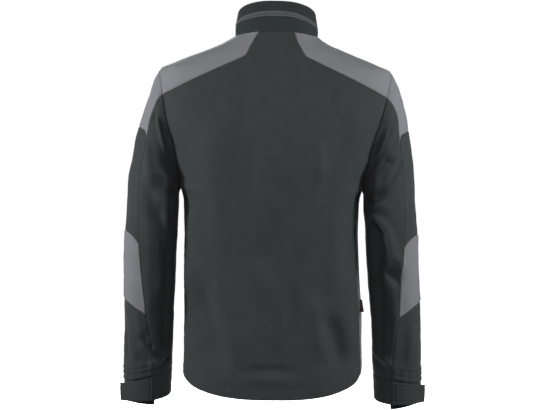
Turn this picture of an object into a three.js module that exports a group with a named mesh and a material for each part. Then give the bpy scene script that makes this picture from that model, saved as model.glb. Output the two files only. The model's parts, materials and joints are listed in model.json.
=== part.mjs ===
// A man's softshell work jacket, zipped up and filled out as worn, with nobody in it.
// Millimetres, +Z up, the front faces -Y and the wearer's left is +X.
// The origin is inside the neck, level with the collar seam, where the wearer's shoulders carry the jacket.
// Every panel is a thin closed wall: a grid of points on a garment surface and the same grid moved inwards.
import * as THREE from "three";

// Driving sizes
const CLOTH = 2; // wall of one cloth panel
const SEAM_GAP = 0.3; // between neighbouring panels
const SHOULDER_HEIGHT = -67; // top of the armhole
const UNDERARM_HEIGHT = -305; // bottom of the armhole
const ARMHOLE_DEPTH = { left: 65, right: 69 }; // half of the armhole, front to back
const ARMHOLE_MIDDLE_Y = -2;
const ARMHOLE_BLEND = 60; // length over which a sleeve takes its own form below the armhole
const UNDERARM_SLANT = 0.4; // how far the walls at the armhole seam turn round under the arm
const HEM_BACK = -713; // lowest point of the dropped back hem
const HEM_SIDE_RISE = 56; // how much higher the hem is at the sides
const HEM_BACK_FLATNESS = 1.8;
const HEM_FRONT_DIP = 14;
const NECK_BACK_RISE = 5;
const NECK_FRONT_DROP = 50;
const COLLAR_TOP = { half: 77, back: 62, front: 57, square: 2.3 };
const COLLAR_TOP_SIDE = 43; // height of the collar's top edge at the sides
const COLLAR_TOP_TILT = 22; // it is this much higher at the back, and as much lower at the front
const COLLAR_BULGE = 2.5;
const ZIP_GAP = 4.2; // from the centre front to each front edge

// How the jacket hangs: how far it stands to the wearer's right at each height,
// and how much lower its right side is.
const LEAN = [
  { z: 0, shift: 8 },
  { z: -16, shift: 5.5 },
  { z: -60, shift: 6.5 },
  { z: -115, shift: 6 },
  { z: -206, shift: 1.5 },
  { z: -330, shift: -2.4 },
  { z: -450, shift: -2.4 },
  { z: -560, shift: 0 },
];
const ROLL = { slope: 0.017, lowShare: 0.4, fromZ: -720, fullZ: -330 };
const SLEEVE_END_DROP = { left: 0, right: 9, fromZ: -540, fullZ: -727 }; // at the sleeve's inner line

// Level sections of the body: half width, depth behind and before the middle, and how square the section is.
// Twist is how far the side seams have slipped round, in degrees.
const BODY_SECTIONS = [
  { z: 12, half: 68, back: 69, front: 46, square: 2.0, twist: 0 },
  { z: 5, half: 76, back: 71.5, front: 49, square: 2.0, twist: 0 },
  { z: 0, half: 82, back: 73.5, front: 52, square: 2.0, twist: 0 },
  { z: -14, half: 104, back: 78, front: 57, square: 2.0, twist: 0 },
  { z: -30, half: 142, back: 84, front: 62, square: 2.05, twist: 0 },
  { z: -46, half: 182.5, back: 89, front: 66, square: 2.1, twist: 0 },
  { z: -58, half: 209.5, back: 93, front: 71, square: 2.15, twist: 0 },
  { z: -67, half: 229, back: 96.5, front: 75, square: 2.2, twist: 0 },
  { z: -82, half: 236, back: 102, front: 82, square: 2.3, twist: 0 },
  { z: -118, half: 238, back: 111, front: 99, square: 2.45, twist: 0 },
  { z: -165, half: 231, back: 120, front: 115, square: 2.5, twist: 0 },
  { z: -210, half: 214, back: 124, front: 125, square: 2.5, twist: 0 },
  { z: -260, half: 196, back: 124, front: 130, square: 2.5, twist: 0 },
  { z: -290, half: 185, back: 122, front: 131, square: 2.5, twist: 0 },
  { z: -305, half: 180.5, back: 121, front: 131, square: 2.5, twist: 0 },
  { z: -326, half: 175.5, back: 119, front: 130, square: 2.45, twist: 1.5 },
  { z: -385, half: 173, back: 114, front: 128, square: 2.4, twist: 6.5 },
  { z: -440, half: 174, back: 111, front: 125, square: 2.4, twist: 5 },
  { z: -500, half: 176, back: 111, front: 123, square: 2.4, twist: 4 },
  { z: -585, half: 178.5, back: 114, front: 123, square: 2.4, twist: 7 },
  { z: -640, half: 178.5, back: 117, front: 124, square: 2.35, twist: 4 },
  { z: -712, half: 177, back: 119, front: 125, square: 2.35, twist: 1 },
];

// Rings of a sleeve, named by the height of their outer point.
// The first is the armhole and the last the cuff's edge.
// Tilt is how much lower the back of a ring is than its middle.
const SLEEVE_RINGS = [
  { outerZ: -67, outerX: 229, innerZ: -305, innerX: 181, middleY: -2, depth: 65, square: 2.0, tilt: 0 },
  { outerZ: -86, outerX: 240, innerZ: -308, innerX: 182.5, middleY: -1, depth: 67, square: 2.0, tilt: 0 },
  { outerZ: -106, outerX: 248, innerZ: -311, innerX: 183.5, middleY: 0, depth: 69, square: 2.0, tilt: 0 },
  { outerZ: -146, outerX: 260, innerZ: -317, innerX: 184, middleY: 2, depth: 72, square: 2.0, tilt: 0 },
  { outerZ: -183, outerX: 269, innerZ: -322, innerX: 184, middleY: 4, depth: 73.5, square: 2.0, tilt: 0 },
  { outerZ: -226, outerX: 277, innerZ: -329, innerX: 184, middleY: 5, depth: 74, square: 2.05, tilt: 0 },
  { outerZ: -286, outerX: 284.5, innerZ: -342, innerX: 184, middleY: 6, depth: 73, square: 2.1, tilt: 0 },
  { outerZ: -326, outerX: 287, innerZ: -356, innerX: 185, middleY: 6, depth: 71, square: 2.15, tilt: 0 },
  { outerZ: -390, outerX: 291, innerZ: -398, innerX: 187.5, middleY: 3, depth: 67, square: 2.2, tilt: 1 },
  { outerZ: -455, outerX: 293.5, innerZ: -456, innerX: 191, middleY: -3, depth: 61.5, square: 2.2, tilt: 3 },
  { outerZ: -520, outerX: 295.5, innerZ: -515, innerX: 195, middleY: -10, depth: 56, square: 2.2, tilt: 5 },
  { outerZ: -586, outerX: 297.5, innerZ: -572, innerX: 198.5, middleY: -18, depth: 50, square: 2.2, tilt: 6 },
  { outerZ: -655, outerX: 299.5, innerZ: -632, innerX: 201, middleY: -26, depth: 43.5, square: 2.2, tilt: 7 },
  { outerZ: -688, outerX: 299.5, innerZ: -662, innerX: 202.5, middleY: -30, depth: 41, square: 2.2, tilt: 8 },
  { outerZ: -727, outerX: 298, innerZ: -715, innerX: 204.5, middleY: -33, depth: 39, square: 2.2, tilt: 9 },
];

// Where the two long seams of a sleeve lie, in degrees from its outer line, towards the back and the front.
const SLEEVE_SEAMS = [
  { outerZ: -67, back: 57, front: 57 },
  { outerZ: -97, back: 52, front: 52 },
  { outerZ: -128, back: 49, front: 49 },
  { outerZ: -158, back: 54.5, front: 54.5 },
  { outerZ: -183, back: 58, front: 58 },
  { outerZ: -326, back: 63, front: 62 },
  { outerZ: -390, back: 69, front: 70 },
  { outerZ: -520, back: 86, front: 78 },
  { outerZ: -640, back: 103, front: 82 },
  { outerZ: -727, back: 107, front: 84 },
];

// Rows of the sleeve's grid. Drop is how far a row hangs lower at the seams, and bend how late it starts to.
const SLEEVE_ROWS = [
  ...[-67, -84, -103, -124, -145, -165].map((outerZ) => ({ outerZ, drop: 0, bend: 1 })),
  { outerZ: -183, drop: 0, bend: 1, part: "head edge" },
  ...[-216, -250, -286, -322].map((outerZ) => ({ outerZ, drop: 0, bend: 1 })),
  { outerZ: -357, drop: 12, bend: 2 },
  { outerZ: -390, drop: 24, bend: 2, part: "elbow top" },
  ...[-416, -442, -468, -494].map((outerZ) => ({ outerZ, drop: 28, bend: 1.5 })),
  { outerZ: -520, drop: 34, bend: 1, part: "elbow bottom" },
  { outerZ: -552, drop: 24, bend: 1 },
  { outerZ: -586, drop: 14, bend: 1 },
  { outerZ: -621, drop: 7, bend: 1 },
  { outerZ: -655, drop: 2, bend: 1 },
  { outerZ: -688, drop: 0, bend: 1, part: "cuff seam" },
];

// Soft ridges (and troughs, where the height is negative) that run down the body,
// each from one angle and height to another.
const BODY_FOLDS = [
  { fromAngle: -8, fromZ: -150, toAngle: -4, toZ: -520, width: 26, height: 3 },
  { fromAngle: 15, fromZ: -110, toAngle: 19, toZ: -460, width: 24, height: -3 },
  { fromAngle: 38, fromZ: -140, toAngle: 34, toZ: -420, width: 26, height: 2.5 },
  { fromAngle: -30, fromZ: -120, toAngle: -24, toZ: -400, width: 26, height: 2.5 },
  { fromAngle: 44, fromZ: -470, toAngle: 24, toZ: -640, width: 22, height: 4 },
  { fromAngle: 60, fromZ: -520, toAngle: 44, toZ: -690, width: 22, height: -3.5 },
  { fromAngle: -52, fromZ: -480, toAngle: -34, toZ: -660, width: 24, height: -3 },
  { fromAngle: -66, fromZ: -540, toAngle: -58, toZ: -690, width: 20, height: 3 },
  { fromAngle: 140, fromZ: -180, toAngle: 146, toZ: -480, width: 26, height: 3 },
  { fromAngle: -140, fromZ: -200, toAngle: -150, toZ: -500, width: 26, height: 3 },
  { fromAngle: 128, fromZ: -430, toAngle: 150, toZ: -640, width: 24, height: -3.5 },
  { fromAngle: -126, fromZ: -450, toAngle: -146, toZ: -650, width: 24, height: -3.5 },
];

// Creases of the sleeves: angles go round from the outer line to the back, sides are the wearer's.
const SLEEVE_FOLDS = [
  { side: 1, fromAngle: 70, fromZ: -190, toAngle: 105, toZ: -330, width: 17, height: 4 },
  { side: 1, fromAngle: 120, fromZ: -300, toAngle: 96, toZ: -440, width: 16, height: -4 },
  { side: 1, fromAngle: 150, fromZ: -430, toAngle: 112, toZ: -520, width: 15, height: 3.5 },
  { side: 1, fromAngle: 230, fromZ: -370, toAngle: 290, toZ: -430, width: 16, height: -5 },
  { side: -1, fromAngle: 138, fromZ: -240, toAngle: 88, toZ: -350, width: 17, height: 5 },
  { side: -1, fromAngle: 128, fromZ: -330, toAngle: 82, toZ: -440, width: 16, height: 5 },
  { side: -1, fromAngle: 130, fromZ: -430, toAngle: 92, toZ: -480, width: 14, height: -5 },
  { side: -1, fromAngle: 60, fromZ: -210, toAngle: 92, toZ: -250, width: 14, height: -3 },
  { side: -1, fromAngle: 235, fromZ: -370, toAngle: 290, toZ: -430, width: 16, height: -5 },
];

// Where the panels meet on the body
const YOKE_NOTCH = { x: 57.5, z: -44 }; // lower inner corner of the grey yoke, on the back
const NECK_YOKE_BACK = 28.5; // where the yoke meets the collar seam, in degrees round from the centre back
const NECK_YOKE_FRONT = 135;
const ARMHOLE_YOKE = 57; // the yoke takes this much of the armhole, each way from its top
const ARMHOLE_SIDE_SEAM = 162;
const ARMHOLE_FRONT_SEAM = 235;
const SIDE_SEAM_ANGLE = 83;
const FRONT_SEAM_ANGLE = 126;

// How finely each seam is divided. Panels that meet at a seam share its points.
const STEPS = {
  sideSeam: 14,
  armholeBack: 7,
  armholeLow: 5,
  armholeFront: 5,
  yoke: 8,
  notch: 2,
  neckSide: 8,
};
const NECK_BACK_STEPS = 4;
const NECK_FRONT_STEPS = 4;
const YOKE_ARMHOLE_STEPS = STEPS.notch + STEPS.neckSide;

const CHARCOAL = new THREE.MeshStandardMaterial({ color: 0x363b3c, roughness: 0.85, metalness: 0 });
const GREY = new THREE.MeshStandardMaterial({ color: 0x77797d, roughness: 0.85, metalness: 0 });
const TRIM = new THREE.MeshStandardMaterial({ color: 0x585c5c, roughness: 0.7, metalness: 0 });
const BLACK = new THREE.MeshStandardMaterial({ color: 0x1b1d1d, roughness: 0.95, metalness: 0 });
const ZIP_METAL = new THREE.MeshStandardMaterial({ color: 0x2a2c2d, roughness: 0.45, metalness: 0.6 });

const radians = THREE.MathUtils.degToRad;
const lerp = THREE.MathUtils.lerp;
const smoothstep = (value, low, high) => THREE.MathUtils.smoothstep(value, low, high);
const range = (count) => Array.from({ length: count + 1 }, (_, i) => i);

// A smooth curve through one named column of a table, with no overshoot between its rows.
function column(table, key, name) {
  const rows = [...table].sort((a, b) => a[key] - b[key]);
  const at = rows.map((row) => row[key]);
  const value = rows.map((row) => row[name]);
  const slopes = at.slice(1).map((x, i) => (value[i + 1] - value[i]) / (x - at[i]));
  const tangents = value.map((_, i) => {
    if (i === 0) return slopes[0];
    if (i === value.length - 1) return slopes[i - 1];
    if (slopes[i - 1] * slopes[i] <= 0) return 0;
    return (2 * slopes[i - 1] * slopes[i]) / (slopes[i - 1] + slopes[i]);
  });
  return (x) => {
    const clamped = THREE.MathUtils.clamp(x, at[0], at[at.length - 1]);
    const i = Math.min(at.length - 2, Math.max(0, at.findIndex((edge) => edge >= clamped) - 1));
    const width = at[i + 1] - at[i];
    const t = (clamped - at[i]) / width;
    return (
      (2 * t ** 3 - 3 * t ** 2 + 1) * value[i] +
      (t ** 3 - 2 * t ** 2 + t) * width * tangents[i] +
      (3 * t ** 2 - 2 * t ** 3) * value[i + 1] +
      (t ** 3 - t ** 2) * width * tangents[i + 1]
    );
  };
}

const columnsOf = (table, key, names) =>
  Object.fromEntries(names.map((name) => [name, column(table, key, name)]));

const body = columnsOf(BODY_SECTIONS, "z", ["half", "back", "front", "square", "twist"]);
const RING_COLUMNS = ["outerX", "innerZ", "innerX", "middleY", "depth", "square", "tilt"];
const ring = columnsOf(SLEEVE_RINGS, "outerZ", RING_COLUMNS);
const seam = columnsOf(SLEEVE_SEAMS, "outerZ", ["back", "front"]);
const lean = column(LEAN, "z", "shift");
const sideName = (side) => (side > 0 ? "left" : "right");

// Moves a point of the evenly hanging jacket to where it hangs in fact.
function posed(x, y, z) {
  const roll = ROLL.slope * lerp(ROLL.lowShare, 1, smoothstep(z, ROLL.fromZ, ROLL.fullZ));
  return new THREE.Vector3(x - lean(z), y, z + roll * x);
}

// The height of all folds at a place, where `across` turns an angle between two lines into millimetres.
function foldHeight(folds, angle, z, across) {
  return folds.reduce((sum, fold) => {
    const share = (fold.fromZ - z) / (fold.fromZ - fold.toZ);
    const line = lerp(fold.fromAngle, fold.toAngle, THREE.MathUtils.clamp(share, 0, 1));
    const away = (across * radians(angle - line)) / fold.width;
    const ends = smoothstep(share, -0.15, 0.3) * (1 - smoothstep(share, 0.7, 1.15));
    return sum + fold.height * Math.exp(-away * away) * ends;
  }, 0);
}

// A superellipse's radius in the direction (across, along).
const radiusOf = (across, along, half, depth, square) =>
  (Math.abs(across / half) ** square + Math.abs(along / depth) ** square) ** (-1 / square);

// The body's surface: angle from the centre back towards the wearer's left, in radians, and height.
function bodySurface(angle, z) {
  const turned = angle + radians(body.twist(z)) * Math.sin(angle) ** 2;
  const depth = Math.cos(turned) > 0 ? body.back(z) : body.front(z);
  const radius =
    radiusOf(Math.sin(turned), Math.cos(turned), body.half(z), depth, body.square(z)) +
    foldHeight(BODY_FOLDS, THREE.MathUtils.radToDeg(turned), z, depth);
  return posed(radius * Math.sin(turned), radius * Math.cos(turned), z);
}

// The angle at which the section at height z has this x, on the back or the front.
function bodyAngle(x, z, onBack) {
  const share = Math.min(1, Math.abs(x) / body.half(z));
  const depth = onBack ? body.back(z) : -body.front(z);
  return Math.atan2(Math.abs(x), depth * (1 - share ** body.square(z)) ** (1 / body.square(z)));
}

function hemHeight(angle) {
  const facing = Math.cos(angle);
  const side = HEM_BACK + HEM_SIDE_RISE;
  if (facing <= 0) return side - HEM_FRONT_DIP * facing ** 2;
  return HEM_BACK + HEM_SIDE_RISE * (1 - facing) ** HEM_BACK_FLATNESS;
}

function neckHeight(angle) {
  const facing = Math.cos(angle);
  const share = Math.abs(angle) / (Math.PI / 2) - 1;
  return facing > 0 ? NECK_BACK_RISE * facing ** 2 : -NECK_FRONT_DROP * smoothstep(share, 0, 1) ** 1.3;
}

// The armhole's own oval: degrees from its top towards the back. `angle` and `z` place it on the body.
function armholePlace(side, degrees) {
  const turn = radians(degrees);
  const middle = (SHOULDER_HEIGHT + UNDERARM_HEIGHT) / 2;
  const z = middle + (SHOULDER_HEIGHT - middle) * Math.cos(turn);
  const y = ARMHOLE_MIDDLE_Y + ARMHOLE_DEPTH[sideName(side)] * Math.sin(turn);
  const depth = y > 0 ? body.back(z) : body.front(z);
  const x = body.half(z) * (1 - (Math.abs(y) / depth) ** body.square(z)) ** (1 / body.square(z));
  return { angle: side * Math.atan2(x, y), z };
}

// A sleeve's surface: degrees round from the outer line towards the back, and the ring's height there.
function sleeveSurface(side, degrees, outerZ) {
  const turn = radians(degrees);
  const outer = new THREE.Vector2(ring.outerX(outerZ), outerZ);
  const inner = new THREE.Vector2(ring.innerX(outerZ), ring.innerZ(outerZ));
  const reach = outer.distanceTo(inner) / 2;
  const depth = ring.depth(outerZ);
  const middle = outer.clone().add(inner).divideScalar(2);
  const towardsOuter = outer.clone().sub(inner).normalize();
  const across = Math.cos(turn) * reach;
  const along = Math.sin(turn) * depth;
  const length = Math.hypot(across, along);
  const folds = SLEEVE_FOLDS.filter((fold) => fold.side === side);
  const radius =
    radiusOf(across / length, along / length, reach, depth, ring.square(outerZ)) +
    foldHeight(folds, (degrees + 360) % 360, outerZ, depth);
  const outwards = (radius * across) / length;
  const { fromZ, fullZ } = SLEEVE_END_DROP;
  const inwards = (1 - Math.cos(turn)) / 2;
  const endDrop = SLEEVE_END_DROP[sideName(side)] * inwards * smoothstep(-outerZ, -fromZ, -fullZ);
  const lower = ring.tilt(outerZ) * Math.sin(turn) + endDrop;
  const point = posed(
    side * (middle.x + towardsOuter.x * outwards),
    ring.middleY(outerZ) + (radius * along) / length,
    middle.y + towardsOuter.y * outwards - lower,
  );
  const held = 1 - smoothstep(SHOULDER_HEIGHT - outerZ, 0, ARMHOLE_BLEND);
  if (held === 0) return point;
  const place = armholePlace(side, degrees);
  const first = SLEEVE_RINGS[0];
  const planar = posed(
    side * (lerp(first.innerX, first.outerX, (1 + Math.cos(turn)) / 2)),
    ARMHOLE_MIDDLE_Y + first.depth * Math.sin(turn),
    place.z,
  );
  return point.add(bodySurface(place.angle, place.z).sub(planar).multiplyScalar(held));
}

// The collar's surface: angle as on the body, and share of the collar's height.
function collarSurface(angle, share) {
  const base = bodySurface(angle, neckHeight(angle));
  const depth = Math.cos(angle) > 0 ? COLLAR_TOP.back : COLLAR_TOP.front;
  const radius = radiusOf(Math.sin(angle), Math.cos(angle), COLLAR_TOP.half, depth, COLLAR_TOP.square);
  const height = COLLAR_TOP_SIDE + (COLLAR_TOP_TILT * radius * Math.cos(angle)) / depth;
  const top = posed(radius * Math.sin(angle), radius * Math.cos(angle), height);
  const bulge = COLLAR_BULGE * Math.sin(Math.PI * Math.min(1, Math.max(0, share)));
  const outwards = new THREE.Vector3(Math.sin(angle), Math.cos(angle), 0).multiplyScalar(bulge);
  return base.lerp(top, share).add(outwards);
}

// The unit normal of a surface at (a, b) that points away from `inside`.
function normalOf(surface, a, b, stepA, stepB, inside) {
  const alongA = surface(a + stepA, b).sub(surface(a - stepA, b));
  const alongB = surface(a, b + stepB).sub(surface(a, b - stepB));
  const normal = alongA.cross(alongB).normalize();
  return normal.dot(surface(a, b).sub(inside)) < 0 ? normal.negate() : normal;
}

const bodyNormal = (angle, z) => normalOf(bodySurface, angle, z, 0.01, 0.5, posed(0, 0, z - 60));
const collarNormal = (angle, share) => normalOf(collarSurface, angle, share, 0.01, 0.02, posed(0, 0, 0));

function sleeveNormal(side, degrees, outerZ) {
  const middleX = (ring.outerX(outerZ) + ring.innerX(outerZ)) / 2;
  const inside = posed(side * middleX, ring.middleY(outerZ), (outerZ + ring.innerZ(outerZ)) / 2);
  return normalOf((a, b) => sleeveSurface(side, a, b), degrees, outerZ, 0.5, 0.5, inside);
}

// At a seam two walls meet on a shared slant, between the normals of the two surfaces.
function armholeSlant(side, degrees) {
  const place = armholePlace(side, degrees);
  const turn = radians(degrees);
  const roundUnderarm = new THREE.Vector3(0, Math.sin(turn), Math.cos(turn)).multiplyScalar(UNDERARM_SLANT);
  return bodyNormal(place.angle, place.z)
    .add(sleeveNormal(side, degrees, SHOULDER_HEIGHT - 1))
    .add(roundUnderarm)
    .normalize();
}

const neckSlant = (angle) =>
  bodyNormal(angle, neckHeight(angle) - 1)
    .add(collarNormal(angle, 0.05))
    .normalize();

// Points of the body's seams. `slant` is set only where the wall doesn't follow the body's own normal.
const onBody = (angle, z) => ({ angle, z });
const onNeck = (angle) => ({ angle, z: neckHeight(angle), slant: neckSlant(angle) });
const onArmhole = (side, degrees) => ({
  ...armholePlace(side, degrees),
  slant: armholeSlant(side, degrees),
});
const along = (count, make) => range(count).map((i) => make(i / count));
const joined = (...pieces) =>
  pieces.reduce((all, piece) => [...all, ...piece.slice(all.length ? 1 : 0)], []);

const straight = (from, to, count) =>
  along(count, (t) => {
    if (t === 0) return from;
    if (t === 1) return to;
    return onBody(lerp(from.angle, to.angle, t), lerp(from.z, to.z, t));
  });

// A line that looks straight from behind or from the front, between two places on the body.
function straightSeen(side, from, to, count, onBack) {
  const seenX = (place) => Math.abs(bodySurface(place.angle, place.z).x + lean(place.z));
  return along(count, (t) => {
    if (t === 0) return from;
    if (t === 1) return to;
    const z = lerp(from.z, to.z, t);
    return onBody(side * bodyAngle(lerp(seenX(from), seenX(to), t), z, onBack), z);
  });
}

const armholeArc = (side, from, to, count) => along(count, (t) => onArmhole(side, lerp(from, to, t)));
const neckArc = (side, from, to, count) => along(count, (t) => onNeck(side * radians(lerp(from, to, t))));

// The seams of one side, each from its lower or outer end.
function seamsOf(side) {
  const armholeBack = onArmhole(side, ARMHOLE_YOKE);
  const armholeFront = onArmhole(side, 360 - ARMHOLE_YOKE);
  const notch = onBody(side * bodyAngle(YOKE_NOTCH.x, YOKE_NOTCH.z, true), YOKE_NOTCH.z);
  const hemSide = onBody(side * radians(SIDE_SEAM_ANGLE), hemHeight(radians(SIDE_SEAM_ANGLE)));
  const hemFront = onBody(side * radians(FRONT_SEAM_ANGLE), hemHeight(radians(FRONT_SEAM_ANGLE)));
  const edgeAngle = (z) => side * (Math.PI - ZIP_GAP / body.front(z));
  const neckEdgeAngle = (Math.PI - ZIP_GAP / body.front(-NECK_FRONT_DROP)) / radians(1);
  const frontRows = STEPS.sideSeam + STEPS.armholeFront;
  const hemZip = hemHeight(Math.PI);
  return {
    sideSeam: straight(hemSide, onArmhole(side, ARMHOLE_SIDE_SEAM), STEPS.sideSeam),
    frontSeam: straight(hemFront, onArmhole(side, ARMHOLE_FRONT_SEAM), STEPS.sideSeam),
    armholeBack: armholeArc(side, ARMHOLE_SIDE_SEAM, ARMHOLE_YOKE, STEPS.armholeBack),
    armholeLow: armholeArc(side, ARMHOLE_SIDE_SEAM, ARMHOLE_FRONT_SEAM, STEPS.armholeLow),
    armholeFront: armholeArc(side, ARMHOLE_FRONT_SEAM, 360 - ARMHOLE_YOKE, STEPS.armholeFront),
    armholeTop: armholeArc(side, ARMHOLE_YOKE, -ARMHOLE_YOKE, YOKE_ARMHOLE_STEPS),
    yokeBack: straightSeen(side, armholeBack, notch, STEPS.yoke, true),
    yokeFront: straightSeen(side, armholeFront, onNeck(side * radians(NECK_YOKE_FRONT)), STEPS.yoke, false),
    notch: straight(notch, onNeck(side * radians(NECK_YOKE_BACK)), STEPS.notch),
    neckBack: neckArc(side, NECK_YOKE_BACK, 0, NECK_BACK_STEPS / 2),
    neckSide: neckArc(side, NECK_YOKE_BACK, NECK_YOKE_FRONT, STEPS.neckSide),
    neckFront: neckArc(side, NECK_YOKE_FRONT, neckEdgeAngle, NECK_FRONT_STEPS),
    zipEdge: along(frontRows, (t) => {
      const z = lerp(hemZip, -NECK_FRONT_DROP, t);
      return t === 1 ? onNeck(side * radians(neckEdgeAngle)) : onBody(edgeAngle(z), z);
    }),
  };
}

// The hem below a row of seam points: its angles are spread as theirs are.
function hemUnder(top, fromAngle, toAngle) {
  const [first, last] = [top[0].angle, top[top.length - 1].angle];
  return top.map((place) => {
    const angle = lerp(fromAngle, toAngle, (place.angle - first) / (last - first));
    return onBody(angle, hemHeight(angle));
  });
}

// Fills a four-sided patch between its seams. Each seam keeps its own points.
function fillPatch(bottom, top, left, right) {
  const mix = (name, u, v, b, t, l, r) =>
    lerp(b[name], t[name], v) +
    lerp(l[name], r[name], u) -
    lerp(lerp(bottom[0][name], bottom.at(-1)[name], u), lerp(top[0][name], top.at(-1)[name], u), v);
  return left.map((l, j) =>
    bottom.map((b, i) => {
      if (j === 0) return i === 0 ? left[0] : i === bottom.length - 1 ? right[0] : b;
      if (j === left.length - 1) return top[i];
      if (i === 0) return l;
      if (i === bottom.length - 1) return right[j];
      const [u, v] = [i / (bottom.length - 1), j / (left.length - 1)];
      return onBody(mix("angle", u, v, b, top[i], l, right[j]), mix("z", u, v, b, top[i], l, right[j]));
    }),
  );
}

const placeOnBody = (grid) =>
  grid.map((row) =>
    row.map(({ angle, z, slant }) => ({
      point: bodySurface(angle, z),
      out: slant ?? bodyNormal(angle, z),
    })),
  );

// Draws the outer rows and columns of a grid in by half a seam gap.
function drawnIn(grid, around) {
  const towards = (from, to) => to.clone().sub(from).setLength(SEAM_GAP / 2);
  const [lastRow, lastColumn] = [grid.length - 1, grid[0].length - 1];
  return grid.map((row, j) =>
    row.map(({ point, out }, i) => {
      const moved = point.clone();
      if (j === 0) moved.add(towards(point, grid[1][i].point));
      if (j === lastRow) moved.add(towards(point, grid[lastRow - 1][i].point));
      if (!around && i === 0) moved.add(towards(point, row[1].point));
      if (!around && i === lastColumn) moved.add(towards(point, row[lastColumn - 1].point));
      return { point: moved, out };
    }),
  );
}

// A closed wall between the grid's points and the same points moved in.
// `around` joins the last column to the first.
// Its narrow edge faces are split by where they are, so that two panels split a shared seam's faces alike.
function wall(name, material, grid, { around = false, lift = 0, thickness = CLOTH } = {}) {
  const [rowCount, columnCount] = [grid.length, grid[0].length];
  const positions = [lift, lift - thickness].flatMap((height) =>
    grid.flat().flatMap(({ point, out }) => point.clone().addScaledVector(out, height).toArray()),
  );
  const outer = (j, i) => j * columnCount + (i % columnCount);
  const inner = (j, i) => rowCount * columnCount + outer(j, i);
  const triangles = [];
  const quad = (a, b, c, d) => triangles.push(a, b, c, a, c, d);
  const edgeRank = (index) => positions[3 * index + 2] + positions[3 * index + 1] / 2;
  const edge = (from, to) => {
    const [fromInner, toInner] = [from, to].map((index) => index + rowCount * columnCount);
    if (edgeRank(from) < edgeRank(to)) quad(from, to, toInner, fromInner);
    else quad(to, toInner, fromInner, from);
  };
  const columnSteps = around ? columnCount : columnCount - 1;
  for (let j = 0; j < rowCount - 1; j++) {
    for (let i = 0; i < columnSteps; i++) {
      quad(outer(j, i), outer(j, i + 1), outer(j + 1, i + 1), outer(j + 1, i));
      quad(inner(j, i), inner(j + 1, i), inner(j + 1, i + 1), inner(j, i + 1));
    }
    if (around) continue;
    edge(outer(j, 0), outer(j + 1, 0));
    edge(outer(j + 1, columnSteps), outer(j, columnSteps));
  }
  for (let i = 0; i < columnSteps; i++) {
    edge(outer(0, i + 1), outer(0, i));
    edge(outer(rowCount - 1, i), outer(rowCount - 1, i + 1));
  }
  return solid(name, material, positions, triangles);
}

// A named mesh whose faces point outwards, whichever way round its triangles came.
function solid(name, material, positions, triangles) {
  const corner = (index) => new THREE.Vector3().fromArray(positions, 3 * index);
  let volume = 0;
  for (let i = 0; i < triangles.length; i += 3) {
    volume += corner(triangles[i]).dot(corner(triangles[i + 1]).cross(corner(triangles[i + 2])));
  }
  const index = volume > 0 ? triangles : [...triangles].reverse();
  const geometry = new THREE.BufferGeometry();
  geometry.setAttribute("position", new THREE.Float32BufferAttribute(positions, 3));
  geometry.setIndex(index);
  geometry.computeVertexNormals();
  const mesh = new THREE.Mesh(geometry, material);
  mesh.name = name;
  return mesh;
}

const seams = { left: seamsOf(1), right: seamsOf(-1) };

function backPanel() {
  const { left, right } = seams;
  const half = (side) => joined(side.yokeBack, side.notch, side.neckBack);
  const top = joined(half(right), half(left).reverse());
  const hem = hemUnder(top, -radians(SIDE_SEAM_ANGLE), radians(SIDE_SEAM_ANGLE));
  const edge = (side) => joined(side.sideSeam, side.armholeBack);
  return wall("back", CHARCOAL, drawnIn(placeOnBody(fillPatch(hem, top, edge(right), edge(left)))));
}

function frontPanels(side) {
  const own = seams[sideName(side)];
  const top = joined(own.yokeFront, own.neckFront);
  const edgeAngle = own.zipEdge[0].angle;
  const sideSeamAngle = side * radians(SIDE_SEAM_ANGLE);
  const frontSeamAngle = side * radians(FRONT_SEAM_ANGLE);
  const hem = hemUnder(top, frontSeamAngle, edgeAngle);
  const front = fillPatch(hem, top, joined(own.frontSeam, own.armholeFront), own.zipEdge);
  const sideHem = hemUnder(own.armholeLow, sideSeamAngle, frontSeamAngle);
  const inset = fillPatch(sideHem, own.armholeLow, own.sideSeam, own.frontSeam);
  return [
    wall(`front_${sideName(side)}`, CHARCOAL, drawnIn(placeOnBody(front))),
    wall(`side_panel_${sideName(side)}`, GREY, drawnIn(placeOnBody(inset))),
  ];
}

function yoke(side) {
  const own = seams[sideName(side)];
  const neckSide = joined(own.notch, own.neckSide);
  const [yokeBack, yokeFront] = [own.yokeBack, own.yokeFront].map((seamLine) => [...seamLine].reverse());
  const grid = fillPatch(yokeBack, yokeFront, neckSide, own.armholeTop);
  return wall(`yoke_${sideName(side)}`, GREY, drawnIn(placeOnBody(grid)));
}

// The columns of a sleeve's ring at one height: the outer part first, from the front seam to the back seam.
function sleeveAngles(outerZ) {
  const spread = smoothstep(SHOULDER_HEIGHT - outerZ, 0, 120);
  const underSteps = STEPS.armholeBack + STEPS.armholeLow + STEPS.armholeFront;
  const [back, front] = [seam.back(outerZ), 360 - seam.front(outerZ)];
  const atArmhole = joined(
    along(STEPS.armholeBack, (t) => lerp(ARMHOLE_YOKE, ARMHOLE_SIDE_SEAM, t)),
    along(STEPS.armholeLow, (t) => lerp(ARMHOLE_SIDE_SEAM, ARMHOLE_FRONT_SEAM, t)),
    along(STEPS.armholeFront, (t) => lerp(ARMHOLE_FRONT_SEAM, 360 - ARMHOLE_YOKE, t)),
  );
  const share = (degrees) => (degrees - ARMHOLE_YOKE) / (360 - 2 * ARMHOLE_YOKE);
  return {
    outer: along(YOKE_ARMHOLE_STEPS, (t) => lerp(front - 360, back, t)),
    under: atArmhole.map((degrees, i) => lerp(back, front, lerp(share(degrees), i / underSteps, spread))),
  };
}

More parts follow.
